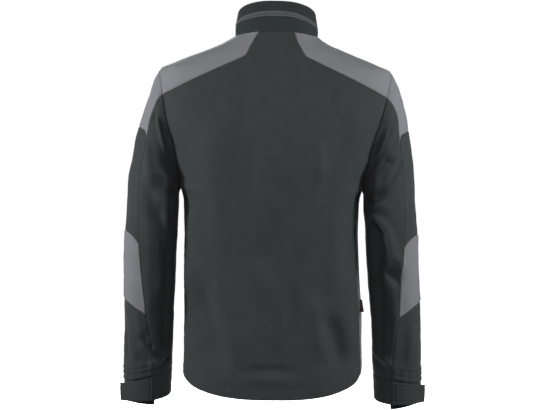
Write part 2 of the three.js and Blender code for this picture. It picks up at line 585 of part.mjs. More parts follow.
// The head's lower edge sweeps up between its two pointed tips and its middle.
const HEAD_EDGE_SWEEP = 30;
const headEdgeLift = (share) => HEAD_EDGE_SWEEP * share ** 3 * (1 - share ** 8);

function sleevePlace(side, row, degrees, onOuter) {
  const seamAngle = degrees > 180 || degrees < 0 ? seam.front(row.outerZ) : seam.back(row.outerZ);
  const away = Math.min(degrees > 180 ? 360 - degrees : Math.abs(degrees), seamAngle);
  const share = onOuter ? (1 - Math.cos(radians(away))) / (1 - Math.cos(radians(seamAngle))) : 1;
  const lift = row.part === "head edge" && onOuter ? headEdgeLift(away / seamAngle) : 0;
  const level = row.outerZ - row.drop * share ** row.bend + lift;
  if (row.outerZ < SHOULDER_HEIGHT) {
    return { point: sleeveSurface(side, degrees, level), out: sleeveNormal(side, degrees, level) };
  }
  const { angle, z, slant } = onArmhole(side, degrees);
  return { point: bodySurface(angle, z), out: slant };
}

// The elbow patch stops this many columns short of the front seam.
const PATCH = { thickness: 1.2, frontColumns: 2 };

function sleeve(side) {
  const rowsOf = (half) =>
    SLEEVE_ROWS.map((row) =>
      sleeveAngles(row.outerZ)[half].map((degrees) => sleevePlace(side, row, degrees, half === "outer")),
    );
  const [outer, under] = [rowsOf("outer"), rowsOf("under")];
  const rowOf = (part) => SLEEVE_ROWS.findIndex((row) => row.part === part);
  const [headEdge, elbowTop, elbowBottom] = ["head edge", "elbow top", "elbow bottom"].map(rowOf);
  const { thickness, frontColumns } = PATCH;
  const patch = outer.slice(elbowTop, elbowBottom + 1).map((row) => row.slice(frontColumns));
  const name = sideName(side);
  return [
    wall(`sleeve_head_${name}`, GREY, drawnIn(outer.slice(0, headEdge + 1))),
    wall(`sleeve_outer_${name}`, CHARCOAL, drawnIn(outer.slice(headEdge))),
    wall(`sleeve_under_${name}`, CHARCOAL, drawnIn(under)),
    wall(`elbow_patch_${name}`, GREY, drawnIn(patch), { lift: SEAM_GAP + thickness, thickness }),
  ];
}

// The cuff band, its wrist tab and the knitted storm cuff inside it
const CUFF = { seamZ: -688, edgeZ: -727, thickness: 2.6, rows: 2 };
const TAB = { thickness: 2.2, reach: [14, 27], shares: [0.04, 0.5, 0.96], columns: 4 };
const STORM_CUFF = {
  thickness: 1.6,
  half: 27,
  depth: 25,
  shift: 13.8,
  drops: [-6, 4, 19],
  from: 0.55,
  dropShare: 0.7,
};

function cuff(side) {
  const name = sideName(side);
  const { outer, under } = sleeveAngles(CUFF.seamZ);
  const angles = [...outer, ...under.slice(1, -1)];
  const ringAt = (share) =>
    angles.map((degrees) => {
      const level = lerp(CUFF.seamZ, CUFF.edgeZ, share);
      const out = sleeveNormal(side, degrees, Math.max(level, CUFF.edgeZ + 1));
      return { point: sleeveSurface(side, degrees, level), out };
    });
  const band = range(CUFF.rows).map((j) => ringAt(j / CUFF.rows));
  return [
    wall(`cuff_${name}`, CHARCOAL, drawnIn(band, true), { around: true, thickness: CUFF.thickness }),
    wristTab(side, ringAt, outer.length),
    stormCuff(side, ringAt),
  ];
}

// The tab lies on the cuff from the back seam outwards, and its free end stands straight off it.
function wristTab(side, ringAt, outerCount) {
  const grid = TAB.shares.map((share) => {
    const lying = ringAt(share).slice(outerCount - TAB.columns, outerCount).reverse();
    const end = lying.at(-1);
    const direction = end.point.clone().sub(lying.at(-2).point).projectOnPlane(end.out).normalize();
    const free = TAB.reach.map((reach) => ({
      point: end.point.clone().addScaledVector(direction, reach),
      out: end.out,
    }));
    return [...lying, ...free];
  });
  const { thickness } = TAB;
  return wall(`wrist_tab_${sideName(side)}`, CHARCOAL, grid, { lift: SEAM_GAP + thickness, thickness });
}

// A funnel from the cuff's inner face down to a knitted wristband that shows below the cuff.
function stormCuff(side, ringAt) {
  const every = ringAt(STORM_CUFF.from).filter((_, i) => i % 2 === 0);
  const last = CUFF.edgeZ;
  const centre = posed(
    side * ((ring.outerX(last) + ring.innerX(last)) / 2 + STORM_CUFF.shift),
    ring.middleY(last),
    (last + ring.innerZ(last)) / 2 - STORM_CUFF.dropShare * SLEEVE_END_DROP[sideName(side)],
  );
  const fromCuff = CUFF.thickness + SEAM_GAP;
  const top = every.map(({ point, out }) => ({
    point: point.clone().addScaledVector(out, -fromCuff),
    out,
  }));
  const wristAt = (drop) =>
    top.map(({ point }) => {
      const turn = Math.atan2(point.y - centre.y, point.x - centre.x);
      const x = STORM_CUFF.half * Math.cos(turn);
      const y = STORM_CUFF.depth * Math.sin(turn);
      return {
        point: new THREE.Vector3(centre.x + x, centre.y + y, centre.z - drop),
        out: new THREE.Vector3(x, y, 0).normalize(),
      };
    });
  const rows = [top, ...STORM_CUFF.drops.map(wristAt)];
  const { thickness } = STORM_CUFF;
  return wall(`storm_cuff_${sideName(side)}`, BLACK, rows, { around: true, thickness });
}

// Bands of the collar from seam to top, as shares of its height
const COLLAR_BANDS = [
  { name: "collar_stand", material: CHARCOAL, shares: [0, 0.25, 0.48] },
  { name: "collar_strip", material: TRIM, shares: [0.48, 0.66] },
  { name: "collar_top", material: CHARCOAL, shares: [0.66, 0.84, 1] },
];
const STRIP_ABOVE = 1 - 0.66; // above the strip the dip fades out towards the collar's top
// How much lower the strip sits round the neck than at the centre back, as a share of its height
const STRIP_DIP = [
  { angle: -180, dip: 0.25 },
  { angle: -95, dip: 0.35 },
  { angle: -15, dip: 0 },
  { angle: 15, dip: 0 },
  { angle: 95, dip: 0.16 },
  { angle: 180, dip: 0.25 },
];
const COLLAR_FACING = { shares: [0.1, 0.4, 0.7, 1.015], thickness: 1.4, endColumns: 2 };

function neckAngles() {
  const { neckBack, neckSide, neckFront } = seams.left;
  const half = joined([...neckBack].reverse(), neckSide, neckFront).map((place) => place.angle);
  return [...half.slice(1).map((angle) => -angle).reverse(), ...half];
}

function collar() {
  const angles = neckAngles();
  const onCollar = (angle, share) => ({
    point: collarSurface(angle, share),
    out: share === 0 ? neckSlant(angle) : collarNormal(angle, Math.min(share, 0.98)),
  });
  const rowAt = (share) => angles.map((angle) => onCollar(angle, share));
  const dip = column(STRIP_DIP, "angle", "dip");
  const bandShare = (share, angle) =>
    share * (1 - dip(THREE.MathUtils.radToDeg(angle)) * Math.min(1, (1 - share) / STRIP_ABOVE));
  const bandRow = (share) => angles.map((angle) => onCollar(angle, bandShare(share, angle)));
  const bands = COLLAR_BANDS.map(({ name, material, shares }) =>
    wall(name, material, drawnIn(shares.map(bandRow))),
  );
  const { shares, thickness, endColumns } = COLLAR_FACING;
  const facingRows = shares.map((share) => rowAt(share).slice(endColumns, -endColumns));
  const lift = -CLOTH - SEAM_GAP;
  return [...bands, wall("collar_facing", TRIM, facingRows, { lift, thickness })];
}

// The centre front zip. Depths are measured out from the cloth's outer face.
const ZIP = {
  tape: [0.4, 7, 15],
  tapeSize: { lift: -CLOTH - 2 * SEAM_GAP, thickness: 0.8 },
  tapeEnd: 1.99, // the tapes stop just short of the collar's top, which is 2
  atNeck: [0.997, 1.03], // rows that bend sharply where the collar begins
};
const TEETH = { reach: [-2.6, 2.6], size: { lift: 0, thickness: 2.1 } };
const SLIDER = {
  length: 13,
  half: 5,
  chamfer: 0.8,
  plate: [0.5, 2.3],
  neckHalf: 3,
  neckDepth: -2,
  fromTop: 4,
  hingeShare: 0.6,
};
const LUG = { inner: 2, outer: 3.4, height: 3.6 };
const PULL = {
  half: 1.6,
  gripHalf: 3.6,
  neckEnd: 8.5,
  gripStart: 12.5,
  length: 27,
  thickness: 1.5,
  depth: 4.1,
};

// A place this far beside the centre front line: share 0 is the hem, 1 the neck seam and 2 the collar's top.
function centreFront(share, beside = 0) {
  const level = lerp(hemHeight(Math.PI), neckHeight(Math.PI), Math.min(share, 1));
  const angle = (beside < 0 ? -1 : 1) * (Math.PI - Math.abs(beside) / body.front(level));
  const z = level + neckHeight(angle) - neckHeight(Math.PI);
  if (share <= 1) return { point: bodySurface(angle, z), out: bodyNormal(angle, z) };
  return { point: collarSurface(angle, share - 1), out: collarNormal(angle, share - 1) };
}

function zipShares(rows, to) {
  const upBody = along(rows, (t) => t);
  return [...upBody.slice(0, -1), ...ZIP.atNeck, ...along(3, (t) => lerp(1.2, to, t))];
}

const zipStrip = (name, material, shares, beside, size) =>
  wall(name, material, shares.map((share) => beside.map((x) => centreFront(share, x))), size);

function zip() {
  const rows = STEPS.sideSeam + STEPS.armholeFront;
  const collarHeight = centreFront(2).point.distanceTo(centreFront(1).point);
  const sliderTop = 2 - SLIDER.fromTop / collarHeight;
  const sliderBottom = sliderTop - SLIDER.length / collarHeight;
  const tapes = [1, -1].map((side) => {
    const beside = ZIP.tape.map((x) => side * x);
    return zipStrip(`zip_tape_${sideName(side)}`, BLACK, zipShares(rows, ZIP.tapeEnd), beside, ZIP.tapeSize);
  });
  const teethShares = zipShares(rows, sliderBottom - 0.01);
  const teeth = zipStrip("zip_teeth", ZIP_METAL, teethShares, TEETH.reach, TEETH.size);
  return [...tapes, teeth, ...slider(centreFront(sliderBottom), centreFront(sliderTop))];
}

// The slider stands between the front edges, and its pull turns between two lugs.
function slider(bottom, top) {
  const up = top.point.clone().sub(bottom.point).normalize();
  const out = bottom.out.clone().projectOnPlane(up).normalize();
  const across = new THREE.Vector3().crossVectors(out, up);
  const frame = new THREE.Matrix4().makeBasis(across, out, up).setPosition(bottom.point);
  const { half, neckHalf, plate, neckDepth, length } = SLIDER;
  const lugTop = plate[1] + LUG.height;
  const rightHalf = [
    [neckHalf, neckDepth],
    [neckHalf, plate[0]],
    [half, plate[0]],
    [half - SLIDER.chamfer, plate[1]],
    [LUG.outer, plate[1]],
    [LUG.outer, lugTop],
    [LUG.inner, lugTop],
    [LUG.inner, plate[1]],
  ];
  const leftHalf = rightHalf.map(([x, y]) => [-x, y]).reverse();
  const shape = new THREE.Shape([...rightHalf, ...leftHalf].map(([x, y]) => new THREE.Vector2(x, y)));
  const geometry = new THREE.ExtrudeGeometry(shape, { depth: length, bevelEnabled: false });
  const sliderBody = new THREE.Mesh(geometry, ZIP_METAL);
  sliderBody.name = "zip_slider";
  sliderBody.applyMatrix4(frame);
  const pull = new THREE.Mesh(pullGeometry(), ZIP_METAL);
  pull.name = "zip_pull";
  const hinge = new THREE.Vector3(0, PULL.depth, length * SLIDER.hingeShare);
  pull.applyMatrix4(frame.clone().multiply(new THREE.Matrix4().setPosition(hinge)));
  return [sliderBody, pull];
}

// The pull hangs from its hinge: a narrow head between the lugs and a wider rounded grip.
function pullGeometry() {
  const { half, gripHalf, neckEnd, gripStart, length, thickness } = PULL;
  const shape = new THREE.Shape();
  shape.moveTo(-half, 0);
  shape.absarc(0, 0, half, Math.PI, 0, true);
  shape.lineTo(half, -neckEnd);
  shape.lineTo(gripHalf, -gripStart);
  shape.lineTo(gripHalf, -length + gripHalf);
  shape.absarc(0, -length + gripHalf, gripHalf, 0, -Math.PI, true);
  shape.lineTo(-gripHalf, -gripStart);
  shape.lineTo(-half, -neckEnd);
  const settings = { depth: thickness, bevelEnabled: false, curveSegments: 5 };
  const geometry = new THREE.ExtrudeGeometry(shape, settings);
  return geometry.translate(0, 0, -thickness / 2).rotateX(Math.PI / 2);
}

// A bare folded label sewn into the right side seam. It hangs a little away from the body.
const LABEL = { topZ: -521, bottomZ: -546, root: 0.5, topReach: 6, bottomReach: 9, thickness: 1 };

function label() {
  const angle = -radians(SIDE_SEAM_ANGLE);
  const ends = [
    { z: LABEL.bottomZ, reach: LABEL.bottomReach },
    { z: LABEL.topZ, reach: LABEL.topReach },
  ];
  const grid = ends.map(({ z, reach }) => {
    const root = bodySurface(angle, z);
    const away = bodyNormal(angle, z);
    const out = new THREE.Vector3(0, 0, 1).cross(away).normalize();
    return [LABEL.root, reach].map((from) => ({ point: root.clone().addScaledVector(away, from), out }));
  });
  return wall("side_label", BLACK, grid, { lift: LABEL.thickness / 2, thickness: LABEL.thickness });
}

const jacket = new THREE.Group();
jacket.name = "softshell_jacket";
jacket.add(backPanel(), ...collar(), ...zip(), label());
for (const side of [1, -1]) {
  jacket.add(...frontPanels(side), yoke(side), ...sleeve(side), ...cuff(side));
}

export default jacket;
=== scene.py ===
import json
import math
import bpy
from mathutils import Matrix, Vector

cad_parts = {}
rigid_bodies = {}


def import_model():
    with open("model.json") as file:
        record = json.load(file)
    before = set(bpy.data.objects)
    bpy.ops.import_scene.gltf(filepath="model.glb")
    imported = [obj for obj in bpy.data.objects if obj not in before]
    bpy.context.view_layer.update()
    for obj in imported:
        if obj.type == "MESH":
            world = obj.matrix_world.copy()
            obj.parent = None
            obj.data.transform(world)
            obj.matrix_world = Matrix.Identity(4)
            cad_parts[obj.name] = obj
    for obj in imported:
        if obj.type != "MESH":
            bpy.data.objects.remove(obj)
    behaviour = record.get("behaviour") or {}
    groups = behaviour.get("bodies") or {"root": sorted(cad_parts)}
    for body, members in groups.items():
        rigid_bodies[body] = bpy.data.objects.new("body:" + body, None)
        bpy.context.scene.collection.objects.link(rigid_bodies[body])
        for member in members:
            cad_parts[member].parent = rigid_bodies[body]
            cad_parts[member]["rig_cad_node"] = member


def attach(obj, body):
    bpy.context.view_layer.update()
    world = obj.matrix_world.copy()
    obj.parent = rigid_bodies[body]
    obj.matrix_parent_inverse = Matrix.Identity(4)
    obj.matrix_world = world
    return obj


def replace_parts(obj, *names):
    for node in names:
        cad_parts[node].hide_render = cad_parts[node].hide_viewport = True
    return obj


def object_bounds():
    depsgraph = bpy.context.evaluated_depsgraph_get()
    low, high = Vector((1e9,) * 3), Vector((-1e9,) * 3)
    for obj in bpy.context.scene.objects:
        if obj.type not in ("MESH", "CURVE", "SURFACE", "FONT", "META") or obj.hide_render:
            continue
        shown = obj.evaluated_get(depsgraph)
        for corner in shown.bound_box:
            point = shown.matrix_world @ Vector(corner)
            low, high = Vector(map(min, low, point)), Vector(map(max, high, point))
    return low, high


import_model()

# The softshell jacket's looks: finely divided cloth panels on the solids' own surfaces, with creases, seams,
# stitches, zip teeth and rib knit. Sizes are in millimetres until a mesh is made.
from types import SimpleNamespace

import bpy
import numpy as np
from mathutils import Vector

cad_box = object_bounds()

# Sizes of the garment, as in the solids
CLOTH = 2.0
SEAM_GAP = 0.3
SHOULDER_HEIGHT = -67
UNDERARM_HEIGHT = -305
ARMHOLE_DEPTH = {1: 65, -1: 69}
ARMHOLE_MIDDLE_Y = -2
HEM_BACK = -713
HEM_SIDE_RISE = 56
HEM_BACK_FLATNESS = 1.8
HEM_FRONT_DIP = 14
NECK_BACK_RISE = 5
NECK_FRONT_DROP = 50
COLLAR_TOP = SimpleNamespace(half=77, back=62, front=57, square=2.3, side_height=43, tilt=22)
COLLAR_BULGE = 2.5
ZIP_GAP = 4.2
ROLL = SimpleNamespace(slope=0.017, low_share=0.4, from_z=-720, full_z=-330)
SLEEVE_END_DROP = {1: 0, -1: 9}
SLEEVE_END_FROM, SLEEVE_END_FULL = -540, -727
YOKE_NOTCH = SimpleNamespace(x=57.5, z=-44)
NECK_YOKE_BACK = 28.5
NECK_YOKE_FRONT = 135
ARMHOLE_YOKE = 57
ARMHOLE_SIDE_SEAM = 162
ARMHOLE_FRONT_SEAM = 235
SIDE_SEAM_ANGLE = 83
FRONT_SEAM_ANGLE = 126
SIDES = {1: "left", -1: "right"}


def table(columns, *rows):
    """Rows of a table by the names of its columns."""
    return [dict(zip(columns.split(), row)) for row in rows]


# How far the jacket stands to the wearer's right at each height
LEAN = table(
    "z shift",
    (0, 8),
    (-16, 5.5),
    (-60, 6.5),
    (-115, 6),
    (-206, 1.5),
    (-330, -2.4),
    (-450, -2.4),
    (-560, 0),
)

# Level sections of the body: half width, depth behind and before the middle, squareness, and how far the
# side seams slip round, in degrees
BODY_SECTIONS = table(
    "z half back front square twist",
    (12, 68, 69, 46, 2, 0),
    (5, 76, 71.5, 49, 2, 0),
    (0, 82, 73.5, 52, 2, 0),
    (-14, 104, 78, 57, 2, 0),
    (-30, 142, 84, 62, 2.05, 0),
    (-46, 182.5, 89, 66, 2.1, 0),
    (-58, 209.5, 93, 71, 2.15, 0),
    (-67, 229, 96.5, 75, 2.2, 0),
    (-82, 236, 102, 82, 2.3, 0),
    (-118, 238, 111, 99, 2.45, 0),
    (-165, 231, 120, 115, 2.5, 0),
    (-210, 214, 124, 125, 2.5, 0),
    (-260, 196, 124, 130, 2.5, 0),
    (-290, 185, 122, 131, 2.5, 0),
    (-305, 180.5, 121, 131, 2.5, 0),
    (-326, 175.5, 119, 130, 2.45, 1.5),
    (-385, 173, 114, 128, 2.4, 6.5),
    (-440, 174, 111, 125, 2.4, 5),
    (-500, 176, 111, 123, 2.4, 4),
    (-585, 178.5, 114, 123, 2.4, 7),
    (-640, 178.5, 117, 124, 2.35, 4),
    (-712, 177, 119, 125, 2.35, 1),
)

# Rings of a sleeve, named by the height of their outer point
SLEEVE_RINGS = table(
    "outer_z outer_x inner_z inner_x middle_y depth square tilt",
    (-67, 229, -305, 181, -2, 65, 2, 0),
    (-86, 240, -308, 182.5, -1, 67, 2, 0),
    (-106, 248, -311, 183.5, 0, 69, 2, 0),
    (-146, 260, -317, 184, 2, 72, 2, 0),
    (-183, 269, -322, 184, 4, 73.5, 2, 0),
    (-226, 277, -329, 184, 5, 74, 2.05, 0),
    (-286, 284.5, -342, 184, 6, 73, 2.1, 0),
    (-326, 287, -356, 185, 6, 71, 2.15, 0),
    (-390, 291, -398, 187.5, 3, 67, 2.2, 1),
    (-455, 293.5, -456, 191, -3, 61.5, 2.2, 3),
    (-520, 295.5, -515, 195, -10, 56, 2.2, 5),
    (-586, 297.5, -572, 198.5, -18, 50, 2.2, 6),
    (-655, 299.5, -632, 201, -26, 43.5, 2.2, 7),
    (-688, 299.5, -662, 202.5, -30, 41, 2.2, 8),
    (-727, 298, -715, 204.5, -33, 39, 2.2, 9),
)

# The two long seams of a sleeve, in degrees from its outer line
SLEEVE_SEAMS = table(
    "outer_z back front",
    (-67, 57, 57),
    (-97, 52, 52),
    (-128, 49, 49),
    (-158, 54.5, 54.5),
    (-183, 58, 58),
    (-326, 63, 62),
    (-390, 69, 70),
    (-520, 86, 78),
    (-640, 103, 82),
    (-727, 107, 84),
)

# Rows of a sleeve: drop is how far a row hangs lower at the seams, and bend how late it starts to
SLEEVE_ROWS = table(
    "outer_z drop bend",
    (-67, 0, 1),
    (-322, 0, 1),
    (-357, 12, 2),
    (-390, 24, 2),
    (-416, 28, 1.5),
    (-494, 28, 1.5),
    (-520, 34, 1),
    (-552, 24, 1),
    (-586, 14, 1),
    (-621, 7, 1),
    (-655, 2, 1),
    (-688, 0, 1),
)

# The largest folds, which the solids have too
BODY_FOLDS = table(
    "from_angle from_z to_angle to_z width height",
    (-8, -150, -4, -520, 26, 3),
    (15, -110, 19, -460, 24, -3),
    (38, -140, 34, -420, 26, 2.5),
    (-30, -120, -24, -400, 26, 2.5),
    (44, -470, 24, -640, 22, 4),
    (60, -520, 44, -690, 22, -3.5),
    (-52, -480, -34, -660, 24, -3),
    (-66, -540, -58, -690, 20, 3),
    (140, -180, 146, -480, 26, 3),
    (-140, -200, -150, -500, 26, 3),
    (128, -430, 150, -640, 24, -3.5),
    (-126, -450, -146, -650, 24, -3.5),
)

SLEEVE_FOLDS = table(
    "side from_angle from_z to_angle to_z width height",
    (1, 70, -190, 105, -330, 17, 4),
    (1, 120, -300, 96, -440, 16, -4),
    (1, 150, -430, 112, -520, 15, 3.5),
    (1, 230, -370, 290, -430, 16, -5),
    (-1, 138, -240, 88, -350, 17, 5),
    (-1, 128, -330, 82, -440, 16, 5),
    (-1, 130, -430, 92, -480, 14, -5),
    (-1, 60, -210, 92, -250, 14, -3),
    (-1, 235, -370, 290, -430, 16, -5),
)

# How much lower the collar's strip sits than at the centre back, as a share of its height
STRIP_DIP = table("angle dip", (-180, 0.25), (-95, 0.35), (-15, 0), (15, 0), (95, 0.16), (180, 0.25))
STRIP_ABOVE = 0.34

# Creases: soft troughs and ridges, each from one place to another, in degrees and millimetres.
# Bow is how far the middle is bent aside. Skew makes one flank steep and the other gentle.
CREASE_COLUMNS = "angle z to_angle to_z width height bow skew"
BODY_CREASES = table(
    CREASE_COLUMNS,
    (27, -78, 25, -360, 25, -7, 5, 0.1),
    (45, -130, 41, -430, 24, 6, -5, 0),
    (12, -120, 10, -430, 24, 5.5, 4, -0.2),
    (-4, -250, -5.5, -335, 6, -3, 2, -0.4),
    (-18, -140, -21, -380, 18, -5, -6, 0.2),
    (-35, -205, -37, -290, 9, 5.5, 2, 0),
    (-50, -150, -44, -360, 16, -4, 5, 0.2),
    (-62, -330, -57, -520, 18, 4.5, -4, 0),
    (66, -300, 62, -480, 20, 4.5, 5, 0),
    (5, -450, -3, -620, 26, 8, 8, 0),
    (-26, -430, -20, -600, 20, -4, -6, 0),
    (62, -484, 42, -660, 36, -23, -5, -0.35),
    (54, -478, 30, -640, 18, 3, 6, -0.2),
    (-52, -545, -64, -660, 24, -17, 5, 0),
    (-36, -500, -46, -640, 17, 8, 4, 0),
    (-38, -620, -70, -655, 34, -6, 0, 0),
    (24, -656, -22, -658, 11, -4, 3, -0.3),
    (30, -676, -28, -678, 10, 2.6, 3, 0),
    (84, -285, 54, -322, 9, 3.5, 4, -0.3),
    (82, -305, 58, -362, 12, -3, -4, 0),
    (-84, -288, -57, -330, 9, 3, -4, -0.3),
    (-80, -308, -60, -372, 11, -2.5, 4, 0),
    (52, -118, 40, -190, 12, -5, 4, 0.2),
    (-50, -104, -44, -150, 12, -4, -3, 0.2),
    (12, -22, -12, -24, 7, -3, 3, 0),
    (168, -110, 158, -330, 20, -9.5, 6, 0),
    (150, -160, 144, -380, 20, 9.5, 5, 0),
    (-166, -130, -157, -360, 22, -9.5, -6, 0),
    (-148, -170, -142, -420, 19, 9, 4, 0),
    (118, -290, 140, -345, 10, 7.5, 4, -0.3),
    (112, -318, 138, -390, 13, -8, 4, 0),
    (-118, -292, -142, -352, 10, 7.5, -4, -0.3),
    (-112, -316, -137, -396, 13, -8, -4, 0),
    (122, -480, 156, -600, 20, -12, 5, 0),
    (130, -450, 162, -560, 14, 9, 5, 0),
    (-120, -500, -154, -610, 20, -11.5, -6, 0),
    (-128, -460, -160, -575, 15, 9, -5, 0),
)

LEFT_SLEEVE_CREASES = table(
    CREASE_COLUMNS,
    (58, -98, 104, -120, 11, 5, 3, 0),
    (66, -92, 60, -128, 7, -4, 0, 0),
    (36, -190, 52, -214, 7, -2.5, 2, 0),
    (66, -172, 82, -246, 10, 3, 3, 0.2),
    (70, -262, 118, -158, 15, 5, 8, -0.2),
    (80, -300, 118, -210, 17, -4, 6, 0),
    (90, -276, 97, -370, 16, -7, -4, 0),
    (106, -215, 113, -312, 9, 3.5, 3, 0),
    (122, -122, 130, -395, 15, 10, 3, -0.2),
    (139, -175, 147, -400, 13, -14, 4, 0),
    (84, -345, 92, -440, 11, 5, -4, 0.2),
    (112, -330, 118, -450, 9, -5, -5, 0),
    (92, -420, 98, -570, 12, 3.5, 4, 0),
    (134, -400, 134, -640, 15, -11, -4, 0),
    (62, -540, 82, -600, 11, 3, 2, 0),
    (78, -598, 112, -630, 7, -5, 3, 0),
    (70, -612, 112, -650, 7, 6, -3, -0.3),
    (60, -640, 100, -668, 8, -4, -3, 0),
    (98, -680, 164, -656, 7, -6, 3, 0),
    (96, -664, 160, -640, 8, 5.5, 3, -0.3),
    (20, -250, 34, -340, 14, 1, 4, 0),
    (24, -560, 44, -650, 10, -3.5, 4, 0),
    (232, -372, 292, -420, 9, -8, 5, 0),
    (228, -356, 290, -398, 9, 7, 5, -0.3),
    (226, -420, 286, -462, 10, -7, 5, 0),
    (236, -180, 262, -330, 12, -7, 6, 0),
    (262, -150, 280, -300, 11, 6, -5, 0),
    (250, -520, 292, -600, 10, 5, 5, 0),
    (240, -560, 280, -660, 10, -5, 5, 0),
)

RIGHT_SLEEVE_CREASES = table(
    CREASE_COLUMNS,
    (104, -96, 72, -150, 13, 7, 3, 0.2),
    (77, -112, 72, -142, 6, -4, 0, 0),
    (99, -146, 74, -202, 4, -6.5, -4, 0),
    (106, -156, 84, -226, 10, 1.5, -5, 0),
    (116, -110, 128, -262, 15, 9, 3, -0.2),
    (130, -210, 112, -290, 11, -5, 4, 0),
    (146, -200, 150, -330, 15, -12, 0, 0),
    (138, -292, 112, -304, 9, 6, 2, -0.2),
    (148, -308, 102, -378, 11, 7, 4, -0.35),
    (154, -340, 110, -408, 14, -8, 4, 0),
    (103, -366, 97, -432, 9, 5.5, -2, 0.3),
    (116, -400, 112, -450, 12, -7, 0, 0),
    (100, -424, 70, -448, 10, 6, 2, -0.3),
    (106, -458, 76, -484, 14, -7.5, 2, 0),
    (134, -340, 140, -560, 17, -13, 4, 0),
    (94, -488, 102, -640, 12, 4, 4, 0),
    (128, -500, 134, -655, 14, -9, -4, 0),
    (68, -590, 84, -660, 11, -2.5, 3, 0),
    (54, -560, 72, -640, 11, 3, 3, 0),
    (100, -676, 166, -652, 7, -6, 3, 0),
    (98, -660, 160, -634, 8, 5, 3, -0.3),
    (24, -240, 38, -340, 14, 1, 4, 0),
    (232, -368, 292, -424, 9, -8, 5, 0),
    (228, -352, 288, -402, 9, 7, 5, -0.3),
    (226, -424, 284, -468, 10, -7, 5, 0),
    (238, -170, 264, -320, 12, -7, 6, 0),
    (264, -160, 282, -310, 11, 6, -5, 0),
    (252, -530, 290, -610, 10, 5, 5, 0),
    (242, -570, 284, -660, 10, -5, 5, 0),
)

SLEEVE_CREASES = {1: LEFT_SLEEVE_CREASES, -1: RIGHT_SLEEVE_CREASES}
MM_PER_DEGREE = SimpleNamespace(back=2.1, sides=2.6, sleeve=1.15)
BACK_REACH = 45

# Heights of the sleeve's seams at its outer line
HEAD_EDGE, ELBOW_TOP, ELBOW_BOTTOM, CUFF_SEAM, CUFF_EDGE = -183, -390, -520, -688, -727


def mix(a, b, share):
    return a + (b - a) * share


def smoothstep(value, low, high):
    t = np.clip((value - low) / (high - low), 0, 1)
    return t * t * (3 - 2 * t)


def hump(away, width):
    """1 where away is 0, and softly down to 0 on both sides."""
    return np.exp(-((away / width) ** 2))


def unit(vectors):
    return vectors / np.linalg.norm(vectors, axis=-1, keepdims=True)


def run_along(points, axis=0):
    """Distances along the lines of a grid, from its first row or column."""
    steps = np.diff(points, axis=axis, prepend=np.take(points, [0], axis))
    return np.cumsum(np.linalg.norm(steps, axis=-1), axis=axis)


def column(rows, key, name):
    """A smooth curve through one named column of a table, with no overshoot between its rows."""
    rows = sorted(rows, key=lambda row: row[key])
    at, value = (np.array([row[k] for row in rows], float) for k in (key, name))
    slope = np.diff(value) / np.diff(at)
    same_way = slope[:-1] * slope[1:] > 0
    total = np.where(same_way, slope[:-1] + slope[1:], 1)
    tangent = np.array([slope[0], *np.where(same_way, 2 * slope[:-1] * slope[1:] / total, 0), slope[-1]])

    def curve(x):
        x = np.clip(x, at[0], at[-1])
        i = np.clip(np.searchsorted(at, x) - 1, 0, len(at) - 2)
        width = at[i + 1] - at[i]
        t = (x - at[i]) / width
        return (
            (2 * t**3 - 3 * t**2 + 1) * value[i]
            + (t**3 - 2 * t**2 + t) * width * tangent[i]
            + (3 * t**2 - 2 * t**3) * value[i + 1]
            + (t**3 - t**2) * width * tangent[i + 1]
        )

    return curve


def columns_of(rows, key):
    return SimpleNamespace(**{name: column(rows, key, name) for name in rows[0] if name != key})


body = columns_of(BODY_SECTIONS, "z")
ring = columns_of(SLEEVE_RINGS, "outer_z")
seam = columns_of(SLEEVE_SEAMS, "outer_z")
row_of = columns_of(SLEEVE_ROWS, "outer_z")
lean = column(LEAN, "z", "shift")
strip_dip = column(STRIP_DIP, "angle", "dip")
NECK_EDGE = math.pi - ZIP_GAP / float(body.front(-NECK_FRONT_DROP))


# Surfaces of the garment: each gives points for arrays of its two coordinates.

def posed(x, y, z):
    roll = ROLL.slope * mix(ROLL.low_share, 1, smoothstep(z, ROLL.from_z, ROLL.full_z))
    return np.stack([x - lean(z), y, z + roll * x], axis=-1)


def fold_height(folds, angle, z, across):
    total = np.zeros(np.broadcast(angle, z).shape)
    for fold in folds:
        share = (fold["from_z"] - z) / (fold["from_z"] - fold["to_z"])
        line = mix(fold["from_angle"], fold["to_angle"], np.clip(share, 0, 1))
        ends = smoothstep(share, -0.15, 0.3) * (1 - smoothstep(share, 0.7, 1.15))
        total = total + fold["height"] * hump(across * np.radians(angle - line), fold["width"]) * ends
    return total


def radius_of(across, along, half, depth, square):
    return (np.abs(across / half) ** square + np.abs(along / depth) ** square) ** (-1 / square)


def body_depth(behind, z):
    return np.where(behind, body.back(z), body.front(z))


def body_surface(angle, z):
    turned = angle + np.radians(body.twist(z)) * np.sin(angle) ** 2
    depth = body_depth(np.cos(turned) > 0, z)
    radius = radius_of(np.sin(turned), np.cos(turned), body.half(z), depth, body.square(z))
    radius = radius + fold_height(BODY_FOLDS, np.degrees(turned), z, depth)
    return posed(radius * np.sin(turned), radius * np.cos(turned), z)


def body_angle(x, z, on_back):
    """The angle at which the section at height z has this x, on the back or the front."""
    share = np.minimum(1, np.abs(x) / body.half(z))
    depth = body_depth(on_back, z) * (1 if on_back else -1)
    return np.arctan2(np.abs(x), depth * (1 - share ** body.square(z)) ** (1 / body.square(z)))


def hem_height(angle):
    facing = np.cos(angle)
    behind = HEM_BACK + HEM_SIDE_RISE * (1 - np.maximum(facing, 0)) ** HEM_BACK_FLATNESS
    return np.where(facing > 0, behind, HEM_BACK + HEM_SIDE_RISE - HEM_FRONT_DIP * facing**2)


def neck_height(angle):
    facing = np.cos(angle)
    share = np.abs(angle) / (math.pi / 2) - 1
    return np.where(facing > 0, NECK_BACK_RISE * facing**2, -NECK_FRONT_DROP * smoothstep(share, 0, 1) ** 1.3)


